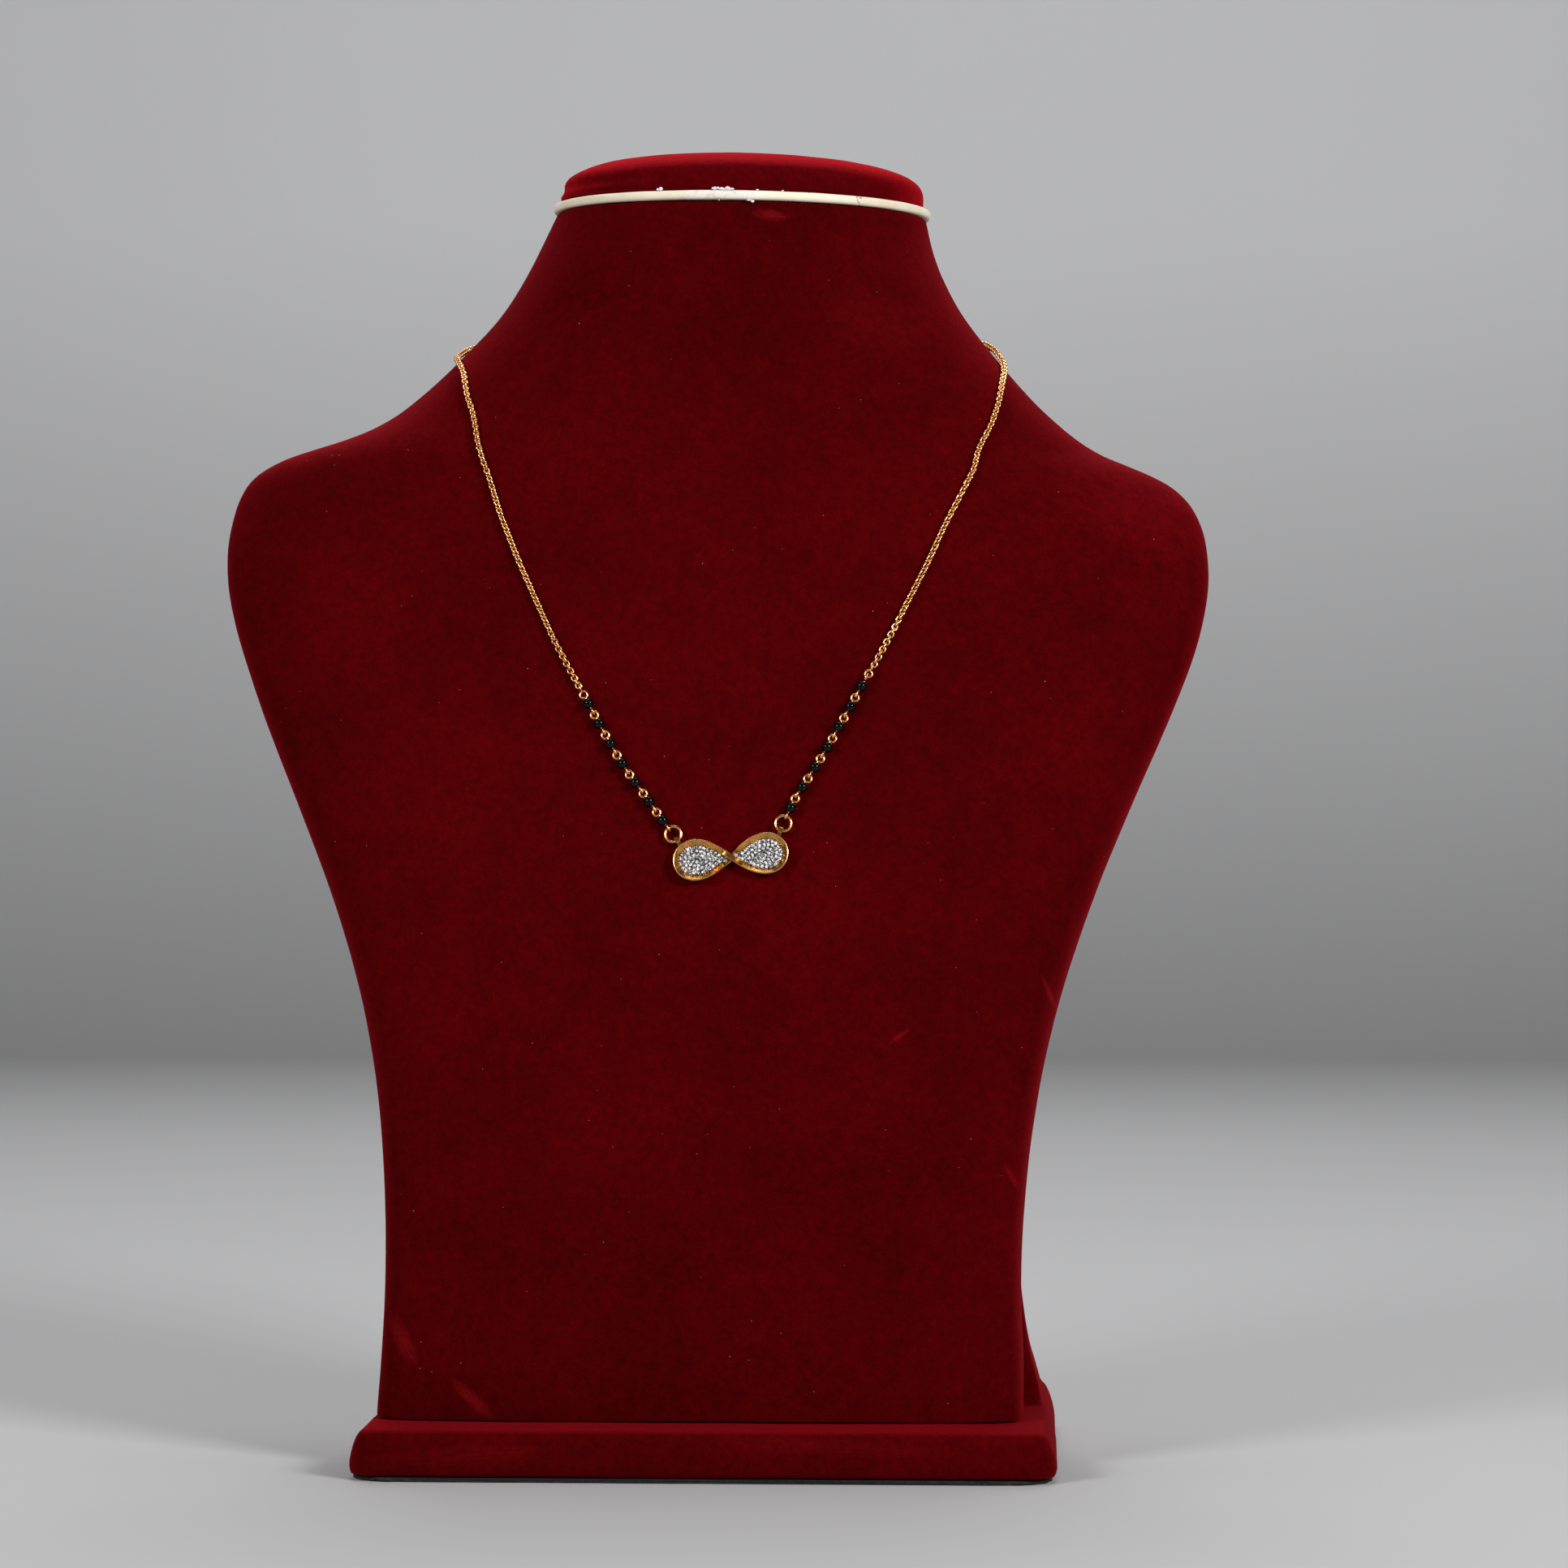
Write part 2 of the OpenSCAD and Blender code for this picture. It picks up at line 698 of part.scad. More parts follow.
// The route as chosen points on the surface, then as a smooth line through them
function front_list(side) = side < 0 ? LEFT_FRONT : RIGHT_FRONT;
function route_marks(side) = concat(
    [for (p = front_list(side)) front_point(p[0] * half_w, p[1] * bust_h)],
    [
        for (p = NAPE)
        let (z = p[1] * bust_h)
        outline_point(section(z), side > 0 ? p[0] : 180 - p[0], z)
    ]
);
function between(a, b, c, d, v) =
    0.5 * (2 * b + (c - a) * v + (2 * a - 5 * b + 4 * c - d) * v * v
        + (3 * b - a - 3 * c + d) * v * v * v);
function smooth_route(marks, parts) = [
    for (i = [0:len(marks) - 2])
    let (
        b = marks[i],
        c = marks[i + 1],
        a = i == 0 ? 2 * b - c : marks[i - 1],
        d = i == len(marks) - 2 ? [-c.x + 2 * neck_mid.x, b.y, b.z] : marks[i + 2]
    )
    for (k = [0:parts - 1 + (i == len(marks) - 2 ? 1 : 0)])
    onto(between(a, b, c, d, k / parts))
];
route_parts = 6;
left_line = smooth_route(route_marks(-1), route_parts);
right_line = smooth_route(route_marks(1), route_parts);
function line_of(side) = side < 0 ? left_line : right_line;
function lengths(line, i = 0, sum = 0) =
    i == len(line) - 1 ? [sum]
    : concat([sum], lengths(line, i + 1, sum + norm(line[i + 1] - line[i])));
left_lengths = lengths(left_line);
right_lengths = lengths(right_line);
function lengths_of(side) = side < 0 ? left_lengths : right_lengths;
function total_of(side) = let (l = lengths_of(side)) l[len(l) - 1];
function find_part(l, s, i = 0) =
    i >= len(l) - 2 || l[i + 1] >= s ? i : find_part(l, s, i + 1);
// A point of the route at a length s from its lower end, lifted off the surface
function along(side, s, lift) =
    let (
        line = line_of(side),
        l = lengths_of(side),
        i = find_part(l, s),
        v = (s - l[i]) / (l[i + 1] - l[i]),
        p = line[i] + v * (line[i + 1] - line[i]),
        q = onto(p)
    )
    q + lift * normal_at(q);

// Centres of the lower eyes, walked up from the jump ring in equal steps
function first_eye(side) =
    let (p = ring_wire_point(side), q = along(side, link_step, bead_lift))
    p + (hook_r - wire_r - ring_wire / 2 - link_gap) * unit(q - p);
function walk_up(side, list, k) =
    k == 0 ? list
    : let (
        a = list[len(list) - 1],
        q = along(side, link_step * len(list), bead_lift)
    )
    walk_up(side, concat(list, [a + link_step * unit(q - a)]), k - 1);
left_eyes = walk_up(-1, [first_eye(-1)], bead_count);
right_eyes = walk_up(1, [first_eye(1)], bead_count);
function eyes_of(side) = side < 0 ? left_eyes : right_eyes;

// A frame at p: its Z runs along dir, its Y points away from the velvet
function frame_at(p, dir, out) =
    let (z = unit(dir), y = unit(out - (out * z) * z), x = cross(y, z))
    [
        [x.x, y.x, z.x, p.x],
        [x.y, y.y, z.y, p.y],
        [x.z, y.z, z.z, p.z],
        [0, 0, 0, 1]
    ];
// Bead 1 hangs at the chain and bead 7 at the pendant
function wire_frame(side, number) =
    let (e = eyes_of(side), k = bead_count - number, a = e[k], b = e[k + 1])
    frame_at(a, b - a, normal_at(onto(a + (b - a) / 2)));

module bead(side, number) {
    round_r = bead_l / 2;
    color("black")
    multmatrix(wire_frame(side, number))
    translate([0, 0, bead_at])
    rotate_extrude($fn = 64)
    difference() {
        translate([bead_d / 2 - round_r, 0])
        circle(round_r, $fn = 64);
        translate([-bead_d, -bead_d])
        square([bead_d + bead_bore / 2, 2 * bead_d]);
    }
}

// Wire with an eye at each end. The lower eye stands edge-on to the viewer;
// the upper eye faces the viewer, but not on the bead that the join link holds.
module bead_wire(side, number) {
    faces_front = !(side > 0 && number == 1);
    color("goldenrod")
    multmatrix(wire_frame(side, number))
    union() {
        rotate([0, 90, 0])
        ring(hook_d, wire_d);
        translate([0, 0, eye_at])
        rotate([faces_front ? 90 : 0, faces_front ? 0 : 90, 0])
        ring(eye_d, wire_d);
        translate([0, 0, hook_r])
        cylinder(d = wire_d, h = eye_at - eye_r - hook_r, $fn = 24);
    }
}

// Join link on the right, which faces the viewer
function top_frame(side, rise) =
    let (
        e = eyes_of(side),
        dir = unit(e[bead_count] - e[bead_count - 1]),
        p = e[bead_count - 1] + rise * dir
    )
    frame_at(p, dir, normal_at(onto(p)));
join_at = eye_at + eye_r - wire_d - link_gap + join_r;
module join_link() {
    color("goldenrod")
    multmatrix(top_frame(1, join_at))
    rotate([90, 0, 0])
    ring(join_d, wire_d);
}

// End links of the chain: edge-on rings that go through a bead's eye, the join link or the clasp
end_d = chain_w + chain_wire;
end_r = (end_d - chain_wire) / 2;
end_space = end_r - chain_wire / 2 - wire_r - link_gap;
function end_rise(side) =
    (side < 0 ? eye_at + eye_r : join_at + join_r) + end_space;

// The clasp lies across the nape
clasp_frame = let (
    a = along(-1, total_of(-1), 0),
    b = along(1, total_of(1), 0),
    p = (a + b) / 2,
    out = normal_at(onto(p))
)
    frame_at(p + out * (clasp_d / 2 + chain_gap), [1, 0, 0], out);
clasp_eye_at = clasp_l / 2 + join_r - 0.1;
clasp_end = clasp_eye_at + join_r + end_space;
function in_clasp(x) = [for (i = [0:2]) clasp_frame[i][2] * x + clasp_frame[i][3]];
module clasp() {
    color("goldenrod")
    multmatrix(clasp_frame)
    union() {
        cylinder(d = clasp_d, h = clasp_l - clasp_d, center = true, $fn = 32);
        for (s = [-1, 1]) {
            translate([0, 0, s * (clasp_l - clasp_d) / 2])
            sphere(d = clasp_d, $fn = 32);
            translate([0, 0, s * clasp_eye_at])
            rotate([90, 0, 0])
            ring(join_d, wire_d);
        }
    }
}

// The chain as one tube through the route, with a ring-shaped link at each end
chain_rings = 40;
ease_length = 9;
function chain_points(side) =
    let (
        f = top_frame(side, end_rise(side)),
        low = [f[0][3], f[1][3], f[2][3]],
        dir = [f[0][2], f[1][2], f[2][2]],
        low_end = low + end_r * dir,
        high_end = in_clasp(side * (clasp_end + end_r)),
        s0 = link_step * bead_count + end_rise(side) + end_r,
        s1 = total_of(side) - clasp_end - end_r,
        high_lift = (high_end - onto(high_end)) * normal_at(onto(high_end))
    )
    concat(
        [low_end],
        [
            for (i = [1:chain_rings - 2])
            let (
                s = s0 + (s1 - s0) * i / (chain_rings - 1),
                a = 1 - ease(0, ease_length, s - s0),
                b = 1 - ease(0, ease_length, s1 - s),
                lift = chain_lift + a * (bead_lift - chain_lift)
                    + b * (max(high_lift, chain_lift) - chain_lift)
            )
            along(side, s, lift)
        ],
        [high_end]
    );
tube_sides = 8;
module chain(side) {
    pts = chain_points(side);
    last = len(pts) - 1;
    low = top_frame(side, end_rise(side));
    high = frame_at(
        in_clasp(side * clasp_end),
        [clasp_frame[0][2], clasp_frame[1][2], clasp_frame[2][2]],
        [clasp_frame[0][1], clasp_frame[1][1], clasp_frame[2][1]]
    );
    skin = [
        for (i = [0:last])
        let (
            dir = unit(pts[min(last, i + 1)] - pts[max(0, i - 1)]),
            out = normal_at(onto(pts[i])),
            y = unit(out - (out * dir) * dir),
            x = cross(y, dir)
        )
        for (j = [0:tube_sides - 1])
        let (a = -360 * (j + 0.5) / tube_sides)
        pts[i] + chain_w / 2 * (x * cos(a) + y * sin(a))
    ];
    color("goldenrod")
    union() {
        polyhedron(skin, loft_faces(last + 1, tube_sides), convexity = 8);
        multmatrix(low)
        rotate([0, 90, 0])
        ring(end_d, chain_wire);
        multmatrix(high)
        rotate([0, 90, 0])
        ring(end_d, chain_wire);
    }
}

torso();
neck_disc();
neck_cap();
base();
base_pad();
chain(-1);  // left_chain
chain(1);  // right_chain
clasp();
join_link();
bead(-1, 1);  // left_bead_1
bead(-1, 2);  // left_bead_2
bead(-1, 3);  // left_bead_3
bead(-1, 4);  // left_bead_4
bead(-1, 5);  // left_bead_5
bead(-1, 6);  // left_bead_6
bead(-1, 7);  // left_bead_7
bead(1, 1);  // right_bead_1
bead(1, 2);  // right_bead_2
bead(1, 3);  // right_bead_3
bead(1, 4);  // right_bead_4
bead(1, 5);  // right_bead_5
bead(1, 6);  // right_bead_6
bead(1, 7);  // right_bead_7
bead_wire(-1, 1);  // left_wire_1
bead_wire(-1, 2);  // left_wire_2
bead_wire(-1, 3);  // left_wire_3
bead_wire(-1, 4);  // left_wire_4
bead_wire(-1, 5);  // left_wire_5
bead_wire(-1, 6);  // left_wire_6
bead_wire(-1, 7);  // left_wire_7
bead_wire(1, 1);  // right_wire_1
bead_wire(1, 2);  // right_wire_2
bead_wire(1, 3);  // right_wire_3
bead_wire(1, 4);  // right_wire_4
bead_wire(1, 5);  // right_wire_5
bead_wire(1, 6);  // right_wire_6
bead_wire(1, 7);  // right_wire_7
jump_ring(-1);  // left_ring
jump_ring(1);  // right_ring
pendant_frame();
stones(-1);  // left_stones
stones(1);  // right_stones
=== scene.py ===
import json
import math
import random

import bmesh
import bpy
import numpy as np
from mathutils import Matrix, Vector
from mathutils.bvhtree import BVHTree

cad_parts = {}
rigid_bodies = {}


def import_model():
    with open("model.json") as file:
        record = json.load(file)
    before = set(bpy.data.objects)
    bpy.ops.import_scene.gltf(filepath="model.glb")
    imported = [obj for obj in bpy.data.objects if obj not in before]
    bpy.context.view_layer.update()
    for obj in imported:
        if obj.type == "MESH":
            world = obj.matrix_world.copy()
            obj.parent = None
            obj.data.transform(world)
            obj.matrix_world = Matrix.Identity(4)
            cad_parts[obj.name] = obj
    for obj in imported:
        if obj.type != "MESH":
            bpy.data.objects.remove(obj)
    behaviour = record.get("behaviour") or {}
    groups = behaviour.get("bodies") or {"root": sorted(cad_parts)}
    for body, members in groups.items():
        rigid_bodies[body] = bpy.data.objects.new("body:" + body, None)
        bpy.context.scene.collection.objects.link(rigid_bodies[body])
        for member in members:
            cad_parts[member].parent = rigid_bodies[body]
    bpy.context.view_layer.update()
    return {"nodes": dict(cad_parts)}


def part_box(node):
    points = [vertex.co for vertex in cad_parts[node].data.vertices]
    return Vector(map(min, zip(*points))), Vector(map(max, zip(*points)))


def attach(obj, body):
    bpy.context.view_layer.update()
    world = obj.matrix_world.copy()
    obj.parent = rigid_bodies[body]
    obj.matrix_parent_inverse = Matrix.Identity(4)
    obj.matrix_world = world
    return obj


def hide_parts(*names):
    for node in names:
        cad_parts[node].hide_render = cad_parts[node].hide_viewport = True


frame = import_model()
scene = bpy.context.scene
mm = 0.001
bothSides = ("left", "right")
print("frame loaded:", len(frame["nodes"]), "nodes")


# Camera: level with the chest, a little to the right of the bust's middle line
cameraView = {
    "place": (0.0686, -1.1581, 0.1515),
    "look": (-0.0454, 0.9990, 0.0),
    "fieldOfView": math.radians(17.45),
    "sensorWidth": 36,
    "seesFrom": 0.05,
}
cameraData = bpy.data.cameras.new("photoCamera")
camera = bpy.data.objects.new("photoCamera", cameraData)
scene.collection.objects.link(camera)
camera.location = cameraView["place"]
camera.rotation_mode = "QUATERNION"
camera.rotation_quaternion = Vector(cameraView["look"]).to_track_quat("-Z", "Y")
cameraData.sensor_width = cameraView["sensorWidth"]
cameraData.angle = cameraView["fieldOfView"]
cameraData.clip_start = cameraView["seesFrom"]
scene.camera = camera
print("camera ready")


# Small helpers for picking things up and finishing them
def clearSelection():
    if bpy.context.object and bpy.context.object.mode != "OBJECT":
        bpy.ops.object.mode_set(mode="OBJECT")
    bpy.ops.object.select_all(action="DESELECT")


def takeUp(piece):
    clearSelection()
    piece.select_set(True)
    bpy.context.view_layer.objects.active = piece


def editing(piece, pick=None, mode="FACE"):
    # Opens the piece for editing with only the wanted faces, edges or points picked
    takeUp(piece)
    bpy.ops.object.mode_set(mode="EDIT")
    bpy.ops.mesh.select_mode(type=mode)
    bpy.ops.mesh.select_all(action="DESELECT" if pick else "SELECT")
    if pick:
        shape = bmesh.from_edit_mesh(piece.data)
        parts = {"FACE": shape.faces, "EDGE": shape.edges, "VERT": shape.verts}[mode]
        for part in parts:
            if pick(part):
                part.select_set(True)
        shape.select_flush_mode()
        bmesh.update_edit_mesh(piece.data)


def doneEditing():
    bpy.ops.object.mode_set(mode="OBJECT")


def addModifier(piece, kind, **settings):
    takeUp(piece)
    modifier = piece.modifiers.new(kind.lower(), kind)
    for key, value in settings.items():
        setattr(modifier, key, value)
    bpy.ops.object.modifier_apply(modifier=modifier.name)


def smoothFaces(piece, angle=None):
    takeUp(piece)
    if angle is None:
        bpy.ops.object.shade_smooth()
    else:
        bpy.ops.object.shade_smooth_by_angle(angle=math.radians(angle))


def newObject(name, data):
    made = bpy.data.objects.new(name, data)
    scene.collection.objects.link(made)
    return made


mergeWithin = 0.002 * mm


def copyOfNode(nodeName, pieceName):
    # A merged copy of a node's mesh, as the start of the piece that stands for it
    mesh = frame["nodes"][nodeName].data.copy()
    mesh.name = pieceName
    piece = newObject(pieceName, mesh)
    takeUp(piece)
    bpy.ops.mesh.customdata_custom_splitnormals_clear()
    editing(piece)
    bpy.ops.mesh.remove_doubles(threshold=mergeWithin)
    doneEditing()
    return piece


def settle(piece, material, slotName, *nodeNames):
    # Material, body and the nodes that the piece stands for; the slot name is not used
    piece.data.materials.clear()
    piece.data.materials.append(material)
    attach(piece, "root")
    if nodeNames:
        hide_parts(*nodeNames)
    return piece


def bakePlace(piece):
    # Puts the object's place into its mesh
    takeUp(piece)
    bpy.ops.object.transform_apply(location=True, rotation=True, scale=True)


def joinCopies(pattern, places, pieceName):
    # One mesh that holds a copy of the pattern's mesh at each place
    mesh = pattern.data
    points = np.empty(len(mesh.vertices) * 3)
    mesh.vertices.foreach_get("co", points)
    points = points.reshape(-1, 3)
    faces = [tuple(face.vertices) for face in mesh.polygons]
    allPoints = []
    allFaces = []
    for number, place in enumerate(places):
        turn = np.array(place.to_3x3())
        move = np.array(place.translation)
        allPoints.append(points @ turn.T + move)
        start = number * len(points)
        allFaces.extend(tuple(start + k for k in face) for face in faces)
    joined = bpy.data.meshes.new(pieceName)
    joined.from_pydata(np.concatenate(allPoints).tolist(), [], allFaces)
    joined.polygons.foreach_set("use_smooth", [True] * len(joined.polygons))
    bpy.data.objects.remove(pattern)
    return newObject(pieceName, joined)


def smallBalls(places, sides, pieceName):
    # A ball at each place, which also holds its size
    clearSelection()
    bpy.ops.mesh.primitive_uv_sphere_add(
        segments=sides, ring_count=max(4, sides // 2), radius=1, location=(0, 0, 0)
    )
    return joinCopies(bpy.context.object, places, pieceName)


def facing(place, forward, outward):
    # A place whose Z runs forward and whose Y looks outward
    z = Vector(forward).normalized()
    y = (Vector(outward) - Vector(outward).dot(z) * z).normalized()
    x = y.cross(z)
    turn = Matrix((x, y, z)).transposed().to_4x4()
    turn.translation = place
    return turn


def skinOf(piece):
    # The piece's surface, for finding what is nearest or met by a look
    mesh = piece.data
    return BVHTree.FromPolygons([v.co for v in mesh.vertices], [tuple(p.vertices) for p in mesh.polygons])


# Materials: helpers for their nodes
def newMaterial(name):
    # A material with its nodes, its shader and the place on the piece
    material = bpy.data.materials.new(name)
    material.use_nodes = True
    tree = material.node_tree
    tree.nodes.clear()
    output = tree.nodes.new("ShaderNodeOutputMaterial")
    shader = tree.nodes.new("ShaderNodeBsdfPrincipled")
    tree.links.new(shader.outputs["BSDF"], output.inputs["Surface"])
    return material, tree, shader, put(tree, "TexCoord").outputs["Object"]


def fill(tree, sockets, inputs):
    # An input is a number, a colour or another node's output
    for key, value in inputs.items():
        if isinstance(value, bpy.types.NodeSocket):
            tree.links.new(value, sockets[key])
        else:
            sockets[key].default_value = value


def put(tree, kind, inputs=None, **settings):
    node = tree.nodes.new("ShaderNode" + kind)
    for key, value in settings.items():
        setattr(node, key, value)
    fill(tree, node.inputs, inputs or {})
    return node


def blendColours(tree, share, low, high, kind="MIX"):
    # Colours are red, green and blue, or another node's output
    low, high = ((*c, 1.0) if isinstance(c, tuple) else c for c in (low, high))
    return put(tree, "Mix", {0: share, 6: low, 7: high}, data_type="RGBA", blend_type=kind).outputs[2]


def sums(tree, operation, first, second=0.0):
    return put(tree, "Math", {0: first, 1: second}, operation=operation).outputs[0]


def spread(tree, value, low, high, newLow=0.0, newHigh=1.0):
    return put(tree, "MapRange", {0: value, 1: low, 2: high, 3: newLow, 4: newHigh}).outputs[0]


def noise(tree, here, size, detail, roughness=0.5):
    inputs = {"Vector": here, "Scale": size, "Detail": detail, "Roughness": roughness}
    return put(tree, "TexNoise", inputs).outputs["Fac"]


def relief(tree, height, depth, strength, under=None):
    # Bump, alone or over a broader one
    inputs = {"Height": height, "Distance": depth, "Strength": strength}
    if under is not None:
        inputs["Normal"] = under
    return put(tree, "Bump", inputs).outputs[0]


def ovalSpot(tree, here, middle, size, turn=0):
    # Places counted from the spot's middle, and a value of 1 in the middle and 0 outside it
    inputs = {"Vector": here, "Location": middle, "Rotation": (0, -math.radians(turn), 0), "Scale": size}
    mapped = put(tree, "Mapping", inputs, vector_type="TEXTURE").outputs[0]
    return mapped, put(tree, "TexGradient", {"Vector": mapped}, gradient_type="SPHERICAL").outputs["Fac"]


def greyRamp(tree, share, greys, tint=(1.0, 1.0, 1.0), steps="LINEAR"):
    node = put(tree, "ValToRGB", {"Fac": share})
    ramp = node.color_ramp
    ramp.interpolation = steps
    while len(ramp.elements) < len(greys):
        ramp.elements.new(1.0)
    for element, (place, grey) in zip(ramp.elements, greys):
        element.position = place
        element.color = (*(grey * part for part in tint), 1.0)
    return node.outputs["Color"]


# In every look a grain is a noise's scale, detail and roughness; levels are a value's low and high and
# what they become, 0 and 1 where not said; "shader" holds numbers for the shader's own inputs
velvetLook = {
    "dark": (0.044, 0.0001, 0.0006), "light": (0.080, 0.0002, 0.0011),
    "markedAndLit": (0.170, 0.0030, 0.0050),
    # painted sheen: the lighter tone that the colour takes where the surface turns away from the view
    "paintedSheen": (0.120, 0.0007, 0.0026), "paintedSheenLevels": (0.28, 0.97),
    "napGrain": (26, 5, 0.55), "napLevels": (0.32, 0.72, 0, 0.65),
    "patchGrain": (234, 4, 0.6), "patchLevels": (0.35, 0.70, 0, 0.35),
    "tuftGrain": (650, 2), "tuftLevels": (0.3, 0.7, 0.84, 1.16), "tuftHigh": 0.8,
    "pileGrain": (2600, 3, 0.7), "pileLevels": (0.25, 0.75, 0.72, 1.28),
    "depth": 0.15 * mm, "strength": 0.55,
    "shader": {
        "Roughness": 0.95, "Specular IOR Level": 0.02,
        "Sheen Weight": 0.20, "Sheen Roughness": 0.42, "Sheen Tint": (1.0, 0.020, 0.040, 1.0),
    },
}
# A lighter copy of the velvet for the cap: a brighter base and a stronger painted sheen, painted light for
# the light that falls on the cap's top
litCapVelvetLook = {
    **velvetLook, "dark": (0.058, 0.0002, 0.0012), "light": (0.100, 0.0004, 0.0020),
    "paintedSheen": (0.340, 0.0022, 0.0060), "paintedSheenLevels": (0.34, 0.97),
}

# Lighter places on the velvet: six marks where the pile was brushed the wrong way, painted light on the
# right shoulder, a lighter patch beside the neck and two lighter streaks on the foot; middle, length and
# width in metres, turn from level in degrees, and strength
brushMarksAndLitPatch = [
    {"at": (-0.0667, -0.037, 0.0291), "long": 0.0150, "wide": 0.0052, "turn": -62, "strength": 0.55},
    {"at": (-0.0509, -0.038, 0.0160), "long": 0.0150, "wide": 0.0036, "turn": -44, "strength": 0.60},
    {"at": (0.0760, -0.031, 0.1052), "long": 0.0095, "wide": 0.0016, "turn": -68, "strength": 0.75},
    {"at": (0.0676, -0.037, 0.0653), "long": 0.0080, "wide": 0.0016, "turn": -64, "strength": 0.60},
    {"at": (0.0431, -0.041, 0.0963), "long": 0.0070, "wide": 0.0014, "turn": 36, "strength": 0.55},
    {"at": (0.0134, -0.007, 0.2799), "long": 0.0100, "wide": 0.0032, "turn": -8, "strength": 0.60},
    # painted light: a broad soft lighter patch on the right shoulder, where the light falls more strongly
    {"at": (0.0957, -0.004, 0.2139), "long": 0.0480, "wide": 0.0260, "turn": -28, "strength": 0.22},
    {"at": (0.0389, -0.005, 0.2560), "long": 0.0300, "wide": 0.0180, "turn": -15, "strength": 0.14},
    {"at": (-0.0500, -0.045, 0.0060), "long": 0.0500, "wide": 0.0050, "turn": 3, "strength": 0.20},
    {"at": (0.0300, -0.045, 0.0080), "long": 0.0600, "wide": 0.0045, "turn": -2, "strength": 0.18},
]
markLook = {
    "halfDepth": 0.030, "streaks": (1.6, 1.0, 3.4), "grain": (1.8, 4, 0.6),
    "levels": (0.30, 0.62, 0.3, 1.6), "edgeLevels": (0.05, 0.75),
}


def markMask(tree, here, mark):
    # 1 in the middle of the mark and 0 outside it, broken up into streaks along it
    size = (mark["long"] / 2, markLook["halfDepth"], mark["wide"] / 2)
    mapped, ball = ovalSpot(tree, here, mark["at"], size, mark["turn"])
    streaks = put(tree, "Mapping", {"Vector": mapped, "Scale": markLook["streaks"]}).outputs[0]
    broken = spread(tree, noise(tree, streaks, *markLook["grain"]), *markLook["levels"])
    soft = spread(tree, sums(tree, "MULTIPLY", ball, broken), *markLook["edgeLevels"])
    return sums(tree, "MULTIPLY", soft, mark["strength"])


def velvet(name, look):
    material, tree, shader, here = newMaterial(name)
    nap = noise(tree, here, *look["napGrain"])
    patches = noise(tree, here, *look["patchGrain"])
    tufts = noise(tree, here, *look["tuftGrain"])
    pile = noise(tree, here, *look["pileGrain"])
    worn = sums(tree, "ADD", spread(tree, nap, *look["napLevels"]),
                spread(tree, patches, *look["patchLevels"]))
    colour = blendColours(tree, worn, look["dark"], look["light"])
    # Painted sheen: towards the outline, where the surface turns away from the view, the colour goes over to
    # a lighter tone
    sheenSlant = put(tree, "LayerWeight", {"Blend": 0.5}).outputs["Facing"]
    colour = blendColours(tree, spread(tree, sheenSlant, *look["paintedSheenLevels"]), colour, look["paintedSheen"])
    marks = 0.0
    # Lighter marks of brushed pile, and painted light on the right shoulder
    for mark in brushMarksAndLitPatch:
        marks = sums(tree, "MAXIMUM", marks, markMask(tree, here, mark))
    colour = blendColours(tree, marks, colour, look["markedAndLit"])
    speckle = sums(tree, "MULTIPLY", spread(tree, pile, *look["pileLevels"]),
                   spread(tree, tufts, *look["tuftLevels"]))
    tone = put(tree, "CombineColor", {"Red": speckle, "Green": speckle, "Blue": speckle}).outputs[0]
    colour = blendColours(tree, 1.0, colour, tone, "MULTIPLY")
    height = sums(tree, "ADD", pile, sums(tree, "MULTIPLY", tufts, look["tuftHigh"]))
    normal = relief(tree, height, look["depth"], look["strength"])
    fill(tree, shader.inputs, {"Base Color": colour, "Normal": normal, **look["shader"]})
    return material


creamLook = {
    "cream": (0.78, 0.68, 0.49), "pale": (0.88, 0.82, 0.67), "dust": (0.52, 0.45, 0.36),
    "broadGrain": (60, 5, 0.6), "paleLevels": (0.35, 0.7), "roughLevels": (0.3, 0.7, 0.42, 0.62),
    "fineGrain": (900, 4, 0.6), "dustLevels": (0.62, 0.8, 0.0, 0.5),
    "depth": 0.12 * mm, "strength": 0.5, "shader": {"Specular IOR Level": 0.35},
}
smearLook = {
    "at": (0.0016, -0.0080, 0.2835), "size": (0.0115, 0.02, 0.006), "cover": 0.8, "high": 0.8,
    "brokenLevels": (0.3, 0.65, 0.5, 2.6), "edgeLevels": (0.15, 0.7),
    "white": (0.80, 0.77, 0.71), "dustGrain": (420, 5, 0.7), "dustLevels": (0.50, 0.68),
}
edgeLines = {
    "dark": (0.10, 0.075, 0.055), "cover": 0.8, "frontTo": 0.02, "wanderGrain": (650, 3, 0.6),
    "crackAt": 0.0330, "crackWander": 4.5 * mm, "crackLevels": (0.064 * mm, 0.160 * mm, 1.0, 0.0),
    "lipAt": 0.28315, "lipWander": 0.54 * mm, "lipLevels": (0.048 * mm, 0.128 * mm, 1.0, 0.0),
    "lipFrom": -0.0165, "lipTo": -0.0066,
}


def fillerSmear(tree, here, fine):
    # A smear of white filler at the front: how thick it lies, and its colour
    look = smearLook
    ball = ovalSpot(tree, here, look["at"], look["size"])[1]
    thick = sums(tree, "MULTIPLY", ball, spread(tree, fine, *look["brokenLevels"]))
    dusty = spread(tree, noise(tree, here, *look["dustGrain"]), *look["dustLevels"])
    white = blendColours(tree, dusty, look["white"], creamLook["dust"])
    return spread(tree, thick, *look["edgeLevels"]), white


